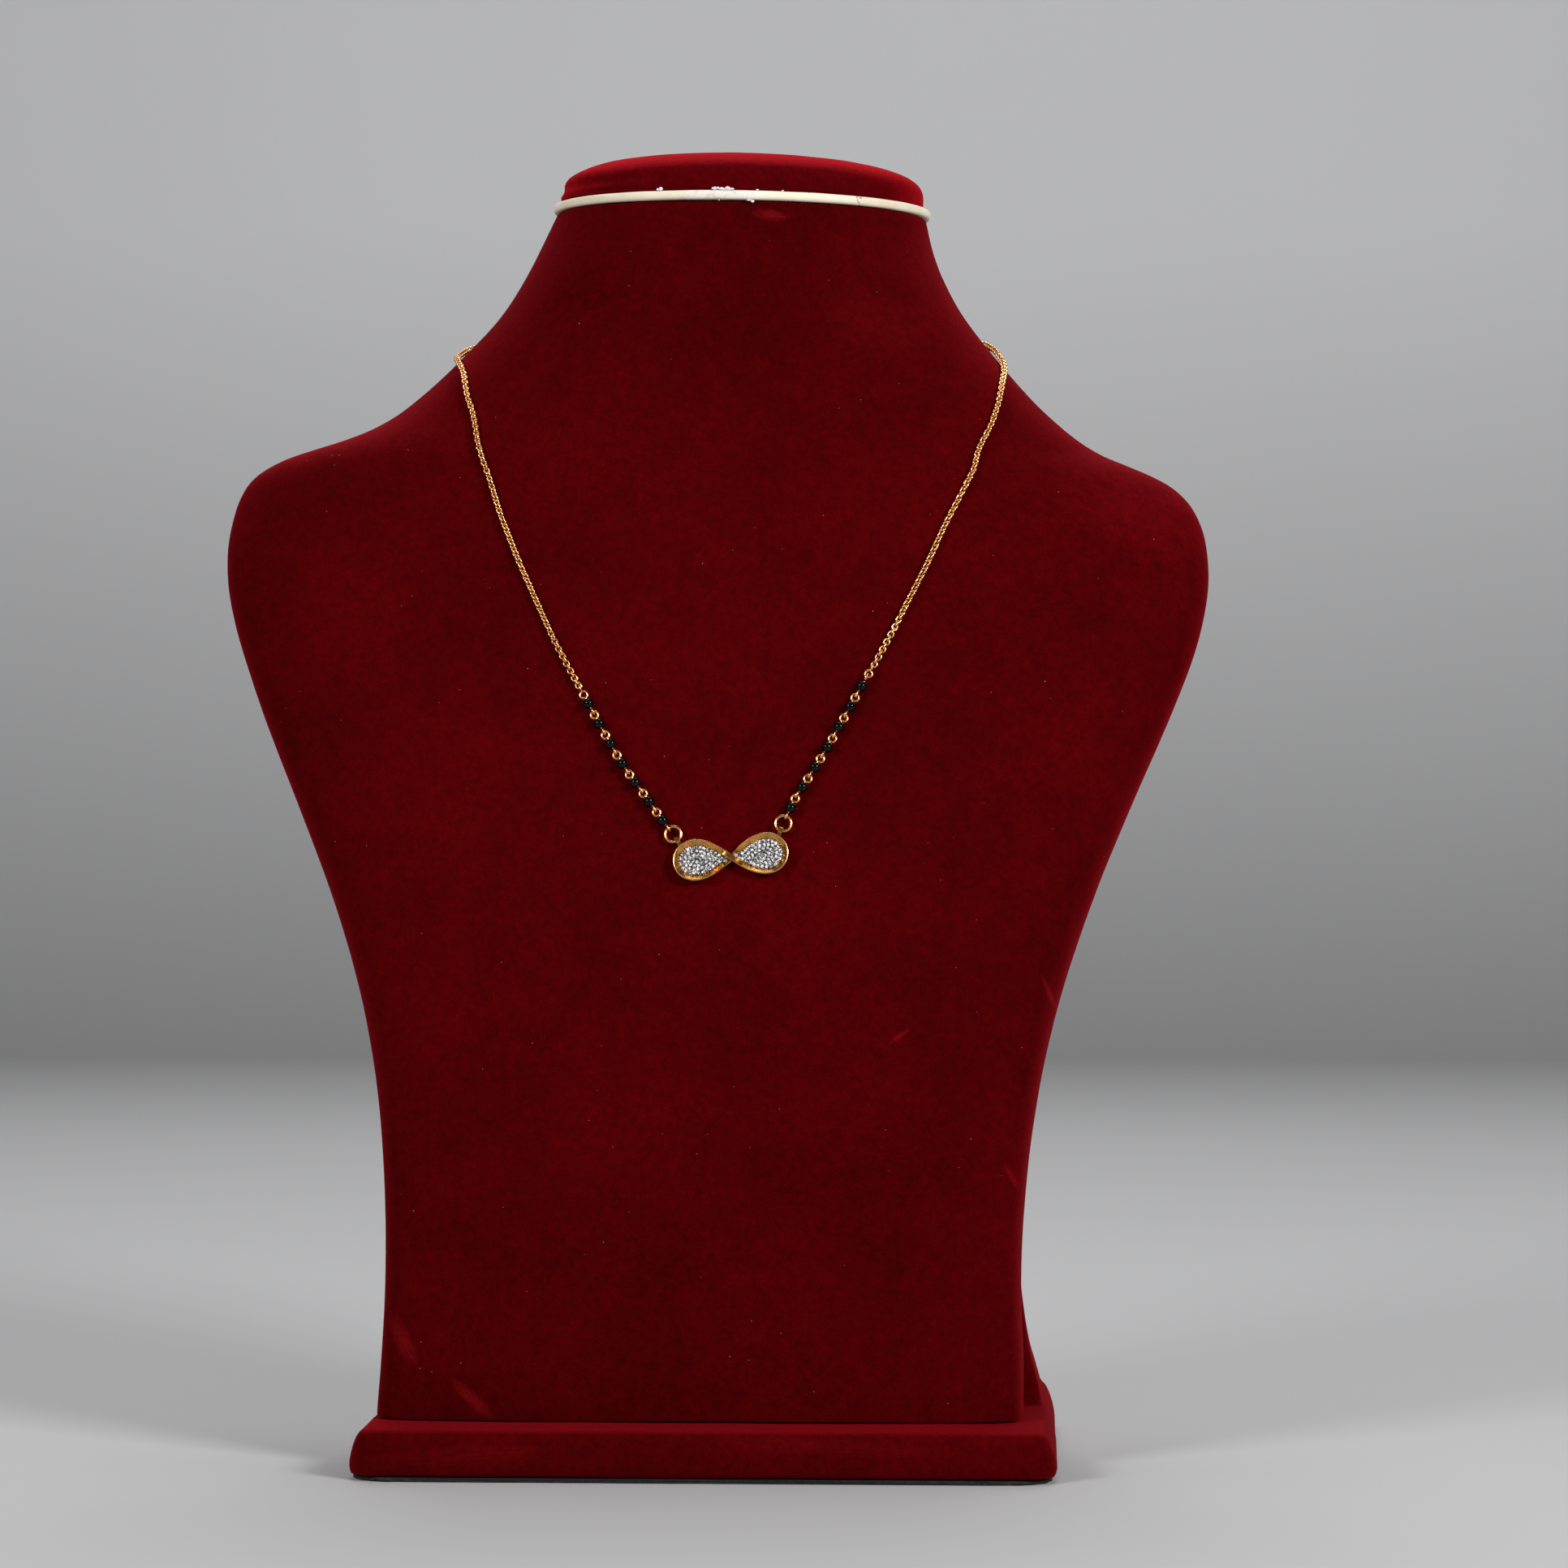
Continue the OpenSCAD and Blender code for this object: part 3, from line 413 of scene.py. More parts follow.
def crackAndLip(tree, here):
    # A crack across the edge, and a lip where two ends of the paper edge overlap
    look = edgeLines
    spot = put(tree, "SeparateXYZ", {"Vector": here}).outputs
    wander = sums(tree, "SUBTRACT", noise(tree, here, *look["wanderGrain"]), 0.5)
    across = sums(tree, "ADD", spot["X"], sums(tree, "MULTIPLY", wander, look["crackWander"]))
    away = sums(tree, "ABSOLUTE", sums(tree, "SUBTRACT", across, look["crackAt"]))
    crack = spread(tree, away, *look["crackLevels"])
    rise = sums(tree, "ADD", spot["Z"], sums(tree, "MULTIPLY", wander, look["lipWander"]))
    apart = sums(tree, "ABSOLUTE", sums(tree, "SUBTRACT", rise, look["lipAt"]))
    lip = spread(tree, apart, *look["lipLevels"])
    lip = sums(tree, "MULTIPLY", lip, sums(tree, "GREATER_THAN", spot["X"], look["lipFrom"]))
    lip = sums(tree, "MULTIPLY", lip, sums(tree, "LESS_THAN", spot["X"], look["lipTo"]))
    inFront = sums(tree, "LESS_THAN", spot["Y"], look["frontTo"])
    return sums(tree, "MULTIPLY", sums(tree, "MAXIMUM", crack, lip), inFront)


def creamPaint():
    look = creamLook
    material, tree, shader, here = newMaterial("creamPaint")
    broad = noise(tree, here, *look["broadGrain"])
    fine = noise(tree, here, *look["fineGrain"])
    colour = blendColours(tree, spread(tree, broad, *look["paleLevels"]), look["cream"], look["pale"])
    colour = blendColours(tree, spread(tree, fine, *look["dustLevels"]), colour, look["dust"])
    smear, white = fillerSmear(tree, here, fine)
    colour = blendColours(tree, sums(tree, "MULTIPLY", smear, smearLook["cover"]), colour, white)
    lines = crackAndLip(tree, here)
    colour = blendColours(tree, sums(tree, "MULTIPLY", lines, edgeLines["cover"]), colour, edgeLines["dark"])
    height = sums(tree, "ADD", fine, sums(tree, "MULTIPLY", smear, smearLook["high"]))
    height = sums(tree, "SUBTRACT", height, lines)
    fill(tree, shader.inputs, {
        "Base Color": colour,
        "Normal": relief(tree, height, look["depth"], look["strength"]),
        "Roughness": spread(tree, broad, *look["roughLevels"]),
        **look["shader"],
    })
    return material


feltLook = {
    "low": (0.006, 0.006, 0.006), "high": (0.030, 0.028, 0.028), "levels": (0.3, 0.7),
    "grain": (1400, 5, 0.65), "depth": 0.2 * mm, "strength": 0.6,
    "shader": {"Roughness": 0.95, "Specular IOR Level": 0.25},
}
residueLook = {
    **feltLook, "low": (0.62, 0.60, 0.56), "high": (0.88, 0.87, 0.84), "grain": (1100, 5, 0.65),
    "shader": {"Roughness": 0.8, "Specular IOR Level": 0.25},
}
lintLook = {
    **feltLook, "low": (0.30, 0.10, 0.09), "high": (0.75, 0.58, 0.52), "grain": (300, 5, 0.65),
    "depth": 0.1 * mm, "shader": {"Roughness": 0.9, "Specular IOR Level": 0.25},
}


def roughFinish(name, look):
    # A dull finish of two colours, broken up by noise
    material, tree, shader, here = newMaterial(name)
    grain = noise(tree, here, *look["grain"])
    fill(tree, shader.inputs, {
        "Base Color": blendColours(tree, spread(tree, grain, *look["levels"]), look["low"], look["high"]),
        "Normal": relief(tree, grain, look["depth"], look["strength"]),
        **look["shader"],
    })
    return material


goldLook = {
    "bright": (0.98, 0.60, 0.27), "deep": (0.74, 0.35, 0.10), "deepLevels": (0.40, 0.72),
    "roughLevels": (0.3, 0.7, 0.20, 0.34),
    "broadGrain": (700, 4, 0.6), "broadDepth": 0.20 * mm, "broadStrength": 0.45,
    "fineGrain": (5200, 3), "fineDepth": 0.02 * mm, "fineStrength": 0.35,
    "shader": {"Metallic": 1.0},
}
bandLook = {
    **goldLook, "bright": (0.74, 0.355, 0.085), "deep": (0.34, 0.135, 0.026),
    "roughLevels": (0.3, 0.7, 0.16, 0.34), "broadGrain": (480, 4, 0.6), "fineGrain": (3600, 3),
}


def goldPlate(name, look):
    material, tree, shader, here = newMaterial(name)
    broad = noise(tree, here, *look["broadGrain"])
    fine = noise(tree, here, *look["fineGrain"])
    deep = spread(tree, broad, *look["deepLevels"])
    waves = relief(tree, broad, look["broadDepth"], look["broadStrength"])
    fill(tree, shader.inputs, {
        "Base Color": blendColours(tree, deep, look["bright"], look["deep"]),
        "Normal": relief(tree, fine, look["fineDepth"], look["fineStrength"], waves),
        "Roughness": spread(tree, broad, *look["roughLevels"]),
        **look["shader"],
    })
    return material


glassLook = {
    "dark": (0.0015, 0.0015, 0.0018), "light": (0.0045, 0.0045, 0.0050),
    "grain": (900, 3), "roughLevels": (0.3, 0.7, 0.04, 0.09), "depth": 0.02 * mm, "strength": 0.08,
    "shader": {"IOR": 1.27},
}


def blackGlass():
    look = glassLook
    material, tree, shader, here = newMaterial("blackGlass")
    grain = noise(tree, here, *look["grain"])
    fill(tree, shader.inputs, {
        "Base Color": blendColours(tree, grain, look["dark"], look["light"]),
        "Normal": relief(tree, grain, look["depth"], look["strength"]),
        "Roughness": spread(tree, grain, *look["roughLevels"]),
        **look["shader"],
    })
    return material


# The white metal and the stones carry painted glints in their colour
plateLook = {
    "cells": 3300, "greys": [(0.0, 0.04), (0.30, 0.16), (0.55, 0.42), (0.76, 0.85)],
    "tint": (1.0, 0.985, 0.98), "grain": (2500, 4), "depth": 0.04 * mm, "strength": 0.5,
    "shader": {"Roughness": 0.24, "Metallic": 0.35},
}
stoneLook = {
    "cells": 3100, "greys": [(0.0, 0.04), (0.22, 0.18), (0.40, 0.62), (0.58, 1.0)],
    "tint": (1.0, 0.985, 0.98),
    "shader": {"Roughness": 0.10, "Metallic": 0.10, "IOR": 2.1},
}


def paintedGreyGlints(name, look):
    # Painted glints: small cells from near black to near white stand in for the bright and dark reflections
    # of facets and grains
    material, tree, shader, here = newMaterial(name)
    cells = put(tree, "TexVoronoi", {"Vector": here, "Scale": look["cells"]})
    shade = put(tree, "SeparateColor", {"Color": cells.outputs["Color"]}).outputs[0]
    inputs = {"Base Color": greyRamp(tree, shade, look["greys"], look["tint"], "CONSTANT"), **look["shader"]}
    if "grain" in look:
        inputs["Normal"] = relief(tree, noise(tree, here, *look["grain"]), look["depth"], look["strength"])
    fill(tree, shader.inputs, inputs)
    return material


finish = {
    "velvet": velvet("redVelvet", velvetLook),
    "capVelvet": velvet("redCapVelvet", litCapVelvetLook),
    "cream": creamPaint(),
    "blackFelt": roughFinish("blackFelt", feltLook),
    "residue": roughFinish("whiteResidue", residueLook),
    "lint": roughFinish("paleLint", lintLook),
    "gold": goldPlate("goldPlate", goldLook),
    "bandGold": goldPlate("bandGold", bandLook),
    "whiteMetal": paintedGreyGlints("whitePlate", plateLook),
    "blackGlass": blackGlass(),
    "stone": paintedGreyGlints("cutStone", stoneLook),
}
print("materials ready:", len(finish))


# The velvet body: the loft of the node, with rounded rims and a smooth skin
bodyShape = {
    "rimRound": 0.55 * mm, "rimSteps": 2, "smoothLevels": 2, "unevenness": 0.22 * mm, "unevenSize": 0.016,
}
loftRules = {"flatFrom": 0.985, "endFrom": 0.9, "joinAngle": 50, "squareAngle": 80, "smoothing": 0.5}


def unevenSkin(piece, shape):
    clouds = bpy.data.textures.new(piece.name + "Clouds", "CLOUDS")
    clouds.noise_scale = shape["unevenSize"]
    clouds.noise_depth = 2
    addModifier(piece, "DISPLACE", texture=clouds, strength=shape["unevenness"],
                mid_level=0.5, texture_coords="LOCAL")


def padTop(piece, shape):
    # Rounds the upper edge as padding does, and leaves the lowest quarter as it is
    before = [vertex.co.copy() for vertex in piece.data.vertices]
    low = min(spot.z for spot in before)
    high = max(spot.z for spot in before)
    start, full = shape["padBetween"]
    addModifier(piece, "SMOOTH", factor=loftRules["smoothing"], iterations=shape["padding"])
    for vertex, spot in zip(piece.data.vertices, before):
        share = ((spot.z - low) / (high - low) - start) / (full - start)
        vertex.co = spot.lerp(vertex.co, min(1, max(0, share)))


def velvetLoft(nodeName, pieceName, shape):
    piece = copyOfNode(nodeName, pieceName)
    levels = [vertex.co.z for vertex in piece.data.vertices]
    middle = (min(levels) + max(levels)) / 2
    reach = (max(levels) - min(levels)) / 2

    def onFlatEnd(face):
        rise = abs(face.calc_center_median().z - middle)
        return abs(face.normal.z) > loftRules["flatFrom"] and rise > reach * loftRules["endFrom"]

    editing(piece, onFlatEnd)
    bpy.ops.mesh.dissolve_faces()
    bpy.ops.mesh.region_to_loop()
    bpy.ops.mesh.bevel(offset=shape["rimRound"], segments=shape["rimSteps"], affect="EDGES")
    doneEditing()
    editing(piece, lambda face: abs(face.normal.z) < loftRules["flatFrom"] or len(face.verts) == 3)
    bpy.ops.mesh.tris_convert_to_quads(
        face_threshold=math.radians(loftRules["joinAngle"]),
        shape_threshold=math.radians(loftRules["squareAngle"]),
    )
    doneEditing()
    addModifier(piece, "SUBSURF", levels=shape["smoothLevels"], render_levels=shape["smoothLevels"])
    if "padding" in shape:
        padTop(piece, shape)
    unevenSkin(piece, shape)
    smoothFaces(piece)
    return piece


velvetBody = settle(velvetLoft("torso", "velvetBody", bodyShape), finish["velvet"], "velvet", "torso")
print("velvet body:", len(velvetBody.data.polygons), "faces")


# The padded cap on the neck, in the cap's lighter velvet with painted light
capShape = {
    "rimRound": 0.35 * mm, "rimSteps": 2, "smoothLevels": 2, "padding": 220, "padBetween": (0.25, 0.75),
    "unevenness": 0.25 * mm, "unevenSize": 0.012,
}
velvetCap = settle(velvetLoft("neck_cap", "velvetCap", capShape), finish["capVelvet"], "velvet", "neck_cap")
print("velvet cap:", len(velvetCap.data.polygons), "faces")


# The foot: the block of the node with soft velvet edges
footShape = {
    "cell": 1.15 * mm, "softSteps": 6, "softening": 0.5, "unevenness": 0.3 * mm, "unevenSize": 0.02,
    "ledgeHigh": 11 * mm, "endReach": 16 * mm, "endLean": 1.9 * mm, "leanCurve": 1.6,
    "endTrim": {"left": 0.9 * mm, "right": 0.2 * mm},
}


def leanEnds(piece, shape):
    # The ends of the foot lean inward towards the top, as stretched cloth does
    low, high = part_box("base")
    middle = (low.x + high.x) / 2
    half = (high.x - low.x) / 2
    for vertex in piece.data.vertices:
        side = 1 if vertex.co.x > middle else -1
        near = (abs(vertex.co.x - middle) - (half - shape["endReach"])) / shape["endReach"]
        if near > 0:
            rise = min(1.0, vertex.co.z / shape["ledgeHigh"])
            trim = shape["endTrim"]["right" if side > 0 else "left"]
            vertex.co.x -= side * near ** 2 * (trim + shape["endLean"] * rise ** shape["leanCurve"])


def makeFoot():
    shape = footShape
    piece = copyOfNode("base", "velvetFoot")
    addModifier(piece, "REMESH", mode="VOXEL", voxel_size=shape["cell"], use_smooth_shade=True)
    addModifier(piece, "SMOOTH", factor=shape["softening"], iterations=shape["softSteps"])
    leanEnds(piece, shape)
    unevenSkin(piece, shape)
    smoothFaces(piece)
    return piece


velvetFoot = settle(makeFoot(), finish["velvet"], "velvet", "base")
print("velvet foot:", len(velvetFoot.data.polygons), "faces")


# The cream edge of the board between neck and cap
rimShape = {
    "sides": 200, "thickness": 2.1 * mm, "edgeRound": 0.882 * mm, "roundSteps": 5,
    "insets": (4 * mm, 12 * mm), "tiltFrom": 0.45, "flatFrom": 0.9, "smoothAngle": 40,
    "unevenness": 0.10 * mm, "unevenSize": 0.006,
}


def makeCreamRim():
    shape = rimShape
    low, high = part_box("neck_disc")
    middle = (low + high) / 2
    width = high.x - low.x
    points = np.array([vertex.co for vertex in frame["nodes"]["neck_disc"].data.vertices])
    right = points[points[:, 0] > middle.x + width * shape["tiltFrom"]].mean(axis=0)
    left = points[points[:, 0] < middle.x - width * shape["tiltFrom"]].mean(axis=0)
    clearSelection()
    bpy.ops.mesh.primitive_cylinder_add(
        vertices=shape["sides"], radius=width / 2, depth=shape["thickness"], location=(0, 0, 0),
        end_fill_type="NGON",
    )
    piece = bpy.context.object
    piece.name = "creamRim"
    editing(piece, lambda face: abs(face.normal.z) > shape["flatFrom"])
    bpy.ops.mesh.region_to_loop()
    bpy.ops.mesh.bevel(offset=shape["edgeRound"], segments=shape["roundSteps"], affect="EDGES")
    doneEditing()
    editing(piece, lambda face: abs(face.normal.z) > shape["flatFrom"] and len(face.verts) == shape["sides"])
    for inset in shape["insets"]:
        bpy.ops.mesh.inset(thickness=inset)
    doneEditing()
    piece.scale = (1, (high.y - low.y) / width, 1)
    piece.rotation_euler = (0, math.atan2(left[2] - right[2], right[0] - left[0]), 0)
    piece.location = middle
    bakePlace(piece)
    unevenSkin(piece, shape)
    smoothFaces(piece, shape["smoothAngle"])
    return piece


creamRim = settle(makeCreamRim(), finish["cream"], "cream_disc", "neck_disc")
print("cream rim:", len(creamRim.data.polygons), "faces")


# Black sheet under the foot, with a ragged edge
sheetShape = {
    "cuts": 56, "longEdge": 20 * mm, "level": 0.1 * mm, "wallFrom": 0.98, "flatFrom": 0.9,
    "ragged": 0.45 * mm, "push": (-1, 0.3), "seed": 5,
}


def makeSheet():
    shape = sheetShape
    piece = copyOfNode("base_pad", "blackSheet")
    low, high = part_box("base_pad")
    middle = (low + high) / 2

    def onWall(edge):
        a, b = (vertex.co for vertex in edge.verts)
        side = max(abs(a.x - middle.x) / (high.x - middle.x), abs(a.y - middle.y) / (high.y - middle.y))
        isLong = (a - b).length > shape["longEdge"]
        return abs(a.z - b.z) < shape["level"] and side > shape["wallFrom"] and isLong

    editing(piece, lambda face: abs(face.normal.z) > shape["flatFrom"])
    bpy.ops.mesh.dissolve_faces()
    doneEditing()
    editing(piece, onWall, "EDGE")
    bpy.ops.mesh.subdivide(number_cuts=shape["cuts"])
    doneEditing()
    random.seed(shape["seed"])
    pushes = {}  # the upper and lower point of one place are pushed alike
    for vertex in piece.data.vertices:
        spot = (round(vertex.co.x, 5), round(vertex.co.y, 5))
        if spot not in pushes:
            pushes[spot] = (random.uniform(*shape["push"]), random.uniform(*shape["push"]))
        out = (vertex.co - middle).normalized()
        vertex.co.x += out.x * pushes[spot][0] * shape["ragged"]
        vertex.co.y += out.y * pushes[spot][1] * shape["ragged"]
    return piece


blackSheet = settle(makeSheet(), finish["blackFelt"], "black_sheet", "base_pad")
print("black sheet:", len(blackSheet.data.polygons), "faces")


# Metal and glass pieces whose shape is the node's own: merged copies with a smooth skin
stringShape = {"beads": 7, "smoothAngle": 50, "claspAngle": 40}


def smoothCopy(nodeName, material, slotName, angle):
    words = nodeName.split("_")
    piece = copyOfNode(nodeName, words[0] + "".join(word.capitalize() for word in words[1:]))
    smoothFaces(piece, angle)
    settle(piece, material, slotName, nodeName)


def makeBeadsAndWires():
    angle = stringShape["smoothAngle"]
    for side in bothSides:
        for number in range(1, stringShape["beads"] + 1):
            smoothCopy(f"{side}_bead_{number}", finish["blackGlass"], "black_glass", angle)
            smoothCopy(f"{side}_wire_{number}", finish["gold"], "gold", angle)
        smoothCopy(f"{side}_ring", finish["gold"], "gold", angle)
    smoothCopy("join_link", finish["gold"], "gold", angle)
    smoothCopy("clasp", finish["gold"], "gold", stringShape["claspAngle"])


makeBeadsAndWires()
print("beads, wires, rings, join link and clasp ready")


# The chain: oval links, each through the next, along the middle of the node's tube
linkShape = {"wire": 0.44 * mm, "wide": 1.70 * mm, "long": 1.88 * mm, "around": 12, "wireSides": 6}
endRing = {"wire": 0.36 * mm, "wide": 1.76 * mm, "long": 1.76 * mm, "around": 16, "wireSides": 8}
chainEnds = {
    "left": {
        "low": (-0.02833, -0.02409, 0.17275), "high": (-0.00366, 0.06071, 0.25705), "next": "left_wire_1",
    },
    "right": {
        "low": (0.03661, -0.02264, 0.17742), "high": (0.00904, 0.06071, 0.25705), "next": "join_link",
    },
}
tubeWalk = {"step": 2.0 * mm, "lastStep": 1.5, "looks": 2, "looksRound": 8}
chainLay = {
    "clear": 0.02 * mm, "loose": 6, "slowTwist": 6, "twistStep": 0.11, "seed": 11,
    "quarterTwist": 45, "twistOver": 16, "seat": 0.95 * mm, "mostPull": 0.70 * mm,
}


def middleOfTube(nodeName, low, high, heading):
    # Walks inside the tube and keeps to its middle by looking at the wall all round
    wall = skinOf(frame["nodes"][nodeName])
    step = tubeWalk["step"]
    spot = low + heading * step
    line = [low]
    while (high - spot).length > tubeWalk["lastStep"] * step:
        for _ in range(tubeWalk["looks"]):
            across = heading.orthogonal().normalized()
            over = heading.cross(across)
            hits = []
            for k in range(tubeWalk["looksRound"]):
                turn = 2 * math.pi * k / tubeWalk["looksRound"]
                hit = wall.ray_cast(spot, across * math.cos(turn) + over * math.sin(turn))[0]
                if hit is not None:
                    hits.append(hit)
            spot = sum(hits, Vector()) / len(hits)
        heading = (spot - line[-1]).normalized()
        line.append(spot)
        spot = spot + heading * step
    line.append(high)
    return line


def evenSteps(line, start, end, count):
    # Points at equal lengths along a line, with the direction there, and the line's whole length
    lengths = [0.0]
    for a, b in zip(line, line[1:]):
        lengths.append(lengths[-1] + (b - a).length)
    total = lengths[-1]
    found = []
    k = 0
    for number in range(count):
        s = start + (total - end - start) * number / (count - 1)
        while k < len(line) - 2 and lengths[k + 1] < s:
            k += 1
        share = (s - lengths[k]) / (lengths[k + 1] - lengths[k])
        before = line[max(k - 1, 0)]
        after = line[min(k + 2, len(line) - 1)]
        early = (line[k + 1] - before).normalized()
        late = (after - line[k]).normalized()
        found.append((line[k].lerp(line[k + 1], share), early.lerp(late, share).normalized()))
    return found, total


def linkPattern(shape):
    # A ring that is stretched along its length; it stands in the plane of X and Z
    clearSelection()
    bpy.ops.mesh.primitive_torus_add(
        major_segments=shape["around"], minor_segments=shape["wireSides"],
        major_radius=(shape["wide"] - shape["wire"]) / 2, minor_radius=shape["wire"] / 2, location=(0, 0, 0),
    )
    pattern = bpy.context.object
    stretch = (shape["long"] - shape["wide"]) / 2
    for sign in (-1, 1):
        editing(pattern, lambda vertex: vertex.co.y * sign > 0.0001 * mm, "VERT")
        bpy.ops.transform.translate(value=(0, sign * stretch, 0))
        doneEditing()
    pattern.rotation_euler = (math.radians(90), 0, 0)
    bakePlace(pattern)
    return pattern


def linkPlace(spot, forward, outward, roll):
    return facing(spot, forward, outward) @ Matrix.Rotation(math.radians(roll), 4, "Z")


def makeChain(side, skin):
    lay = chainLay
    ends = chainEnds[side]
    low = Vector(ends["low"])
    high = Vector(ends["high"])
    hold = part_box(ends["next"])
    heading = (low - (hold[0] + hold[1]) / 2).normalized()
    line = middleOfTube(side + "_chain", low, high, heading)
    ringReach = (endRing["wide"] - endRing["wire"]) / 2
    linkReach = (linkShape["long"] - linkShape["wire"]) / 2
    first = ringReach + linkReach - (endRing["wire"] + linkShape["wire"]) / 2 - lay["clear"]
    pitch = 2 * linkReach - linkShape["wire"] - lay["clear"]
    ringSpots, total = evenSteps(line, 0, 0, 2)
    count = round((total - 2 * first) / pitch) + 1
    count += 1 - count % 2  # both ends meet an edge-on ring, so the count is odd
    linkPlaces = []
    random.seed(lay["seed"] + len(side))
    for number, (spot, forward) in enumerate(evenSteps(line, first, first, count)[0]):
        outward = spot - skin.find_nearest(spot)[0]
        pull = min(max(outward.length - lay["seat"], 0), lay["mostPull"])  # the links lie nearer the velvet
        wave = lay["slowTwist"] * math.sin(number * lay["twistStep"] + len(side))
        fromEnd = min(number, count - 1 - number)
        twist = lay["quarterTwist"] * min(1.0, fromEnd / lay["twistOver"])  # every link shows its side
        roll = (0 if number % 2 == 0 else 90) + twist + wave + random.uniform(-1, 1) * lay["loose"]
        linkPlaces.append(linkPlace(spot - outward.normalized() * pull, forward, outward, roll))
    ringPlaces = []
    for spot, forward in ringSpots:
        ringPlaces.append(linkPlace(spot, forward, spot - skin.find_nearest(spot)[0], 90))
    links = joinCopies(linkPattern(linkShape), linkPlaces, side + "ChainLinks")
    rings = joinCopies(linkPattern(endRing), ringPlaces, side + "EndRings")
    takeUp(links)
    rings.select_set(True)
    bpy.ops.object.join()
    print(side, "chain:", count, "links over", round(total / mm, 1), "mm")
    return links


bodySkin = skinOf(frame["nodes"]["torso"])
for chainSide in bothSides:
    settle(makeChain(chainSide, bodySkin), finish["gold"], "gold", chainSide + "_chain")


# The pendant: gold band, white metal inside the lobes, prongs along the inner edge, stones and grains
pendantShape = {
    "origin": (5.851 * mm, -34.045 * mm, 135.093 * mm),
    "lean": math.radians(14.829),
    "turn": math.radians(5.8),
    "halfLength": 12.15 * mm,
    "lobeSize": 9.92 * mm,
    "fullness": 0.5,
    "bandWidth": 1.3 * mm,
    "innerHigh": 1.3 * mm,
    "smoothAngle": 32,
}
plateRules = {"flatFrom": 0.95, "under": 0.9 * mm, "over": 0.1 * mm, "reach": 1.4 * mm}
grainShape = {
    "size": (0.12 * mm, 0.20 * mm), "sides": 8, "step": 0.30 * mm, "stray": 0.25, "rows": 20,
    "reach": 0.40 * mm, "seed": 15,
}
prongShape = {
    "size": (0.08 * mm, 0.16 * mm), "sides": 8, "step": (0.42 * mm, 0.85 * mm), "sunk": 0.4,
    "reach": 74, "seed": 8,
}
rimLineShape = {
    "high": 1.95 * mm, "inside": 0.18 * mm, "radius": 0.17 * mm, "sides": 8,
    "reach": 66, "fadeOver": 8, "thinnest": 0.05, "smoothAngle": 60,
}
pendantPlace = (
    Matrix.Translation(pendantShape["origin"])
    @ Matrix.Rotation(math.radians(90) - pendantShape["lean"], 4, "X")
    @ Matrix.Rotation(pendantShape["turn"], 4, "Z")
)


def bandLine(turn):
    # Middle line of the figure of eight, in the pendant's own plane
    shape = pendantShape
    fullness = 1 + shape["fullness"] * math.sin(turn) ** 2
    return Vector((
        shape["halfLength"] * math.cos(turn) / fullness,
        shape["lobeSize"] * math.sin(turn) * math.cos(turn) / fullness,
        0,
    ))


def bandOutward(turn, nearby=0.01):
    # Across the band in the pendant's own plane, away from the lobe's middle
    along = (bandLine(turn + nearby) - bandLine(turn - nearby)).normalized()
    return Vector((along.y, -along.x, 0))


def stoneMiddles(nodeName):
    # Middle of each loose stone of a node
    copy = copyOfNode(nodeName, "stoneCount")
    shape = bmesh.new()
    shape.from_mesh(copy.data)
    shape.verts.ensure_lookup_table()
    seen = set()
    middles = []
    for vertex in shape.verts:
        if vertex.index in seen:
            continue
        group = [vertex]
        seen.add(vertex.index)
        for member in group:
            for edge in member.link_edges:
                other = edge.other_vert(member)
                if other.index not in seen:
                    seen.add(other.index)
                    group.append(other)
        middles.append(sum((member.co for member in group), Vector()) / len(group))
    shape.free()
    bpy.data.objects.remove(copy)
    return middles


def pendantOutward(stones):
    # The pendant's own outward direction: across the plane of its stones
    points = np.array([tuple(stone) for stone in stones])
    outward = Vector(np.linalg.svd(points - points.mean(axis=0))[2][2])
    return outward if outward.y < 0 else -outward


def inLobe(x, y, line):
    # Whether a place of the pendant's plane lies inside the band round the right lobe
    shape = pendantShape
    rise = y / x * shape["halfLength"] / shape["lobeSize"]
    if abs(rise) >= 1:
        return False
    reach = shape["halfLength"] * math.sqrt(1 - rise ** 2) / (1 + shape["fullness"] * rise ** 2)
    edge = shape["bandWidth"] / 2 + grainShape["size"][0]
    return x < reach and min((Vector((x, y, 0)) - spot).length for spot in line) > edge


def sizedPlace(spot, turn, size):
    return Matrix.Translation(spot) @ turn @ Matrix.Diagonal((size, size, size, 1))


def makeGrains(side, middles, turn):
    # Small white-metal grains wherever the lobe's floor shows between the stones
    shape = grainShape
    flip = -1 if side == "left" else 1
    stones = [pendantPlace.inverted() @ middle for middle in middles]
    level = sum(stone.z for stone in stones) / len(stones)
    line = [bandLine(math.radians(angle)) for angle in range(-90, 91)]
    places = []
    random.seed(shape["seed"] + len(side))
    for column in range(1, round(pendantShape["halfLength"] / shape["step"])):
        for row in range(-shape["rows"], shape["rows"] + 1):
            x = shape["step"] * (column + random.uniform(-shape["stray"], shape["stray"]))
            y = shape["step"] * (row + random.uniform(-shape["stray"], shape["stray"]))
            size = random.uniform(*shape["size"])
            spot = Vector((flip * x, y, level))
            if inLobe(x, y, line) and min((spot - stone).length for stone in stones) > shape["reach"]:
                places.append(sizedPlace(pendantPlace @ spot, turn, size))
    print(side, "grains:", len(places))
    settle(smallBalls(places, shape["sides"], side + "Grains"), finish["whiteMetal"], "gold")


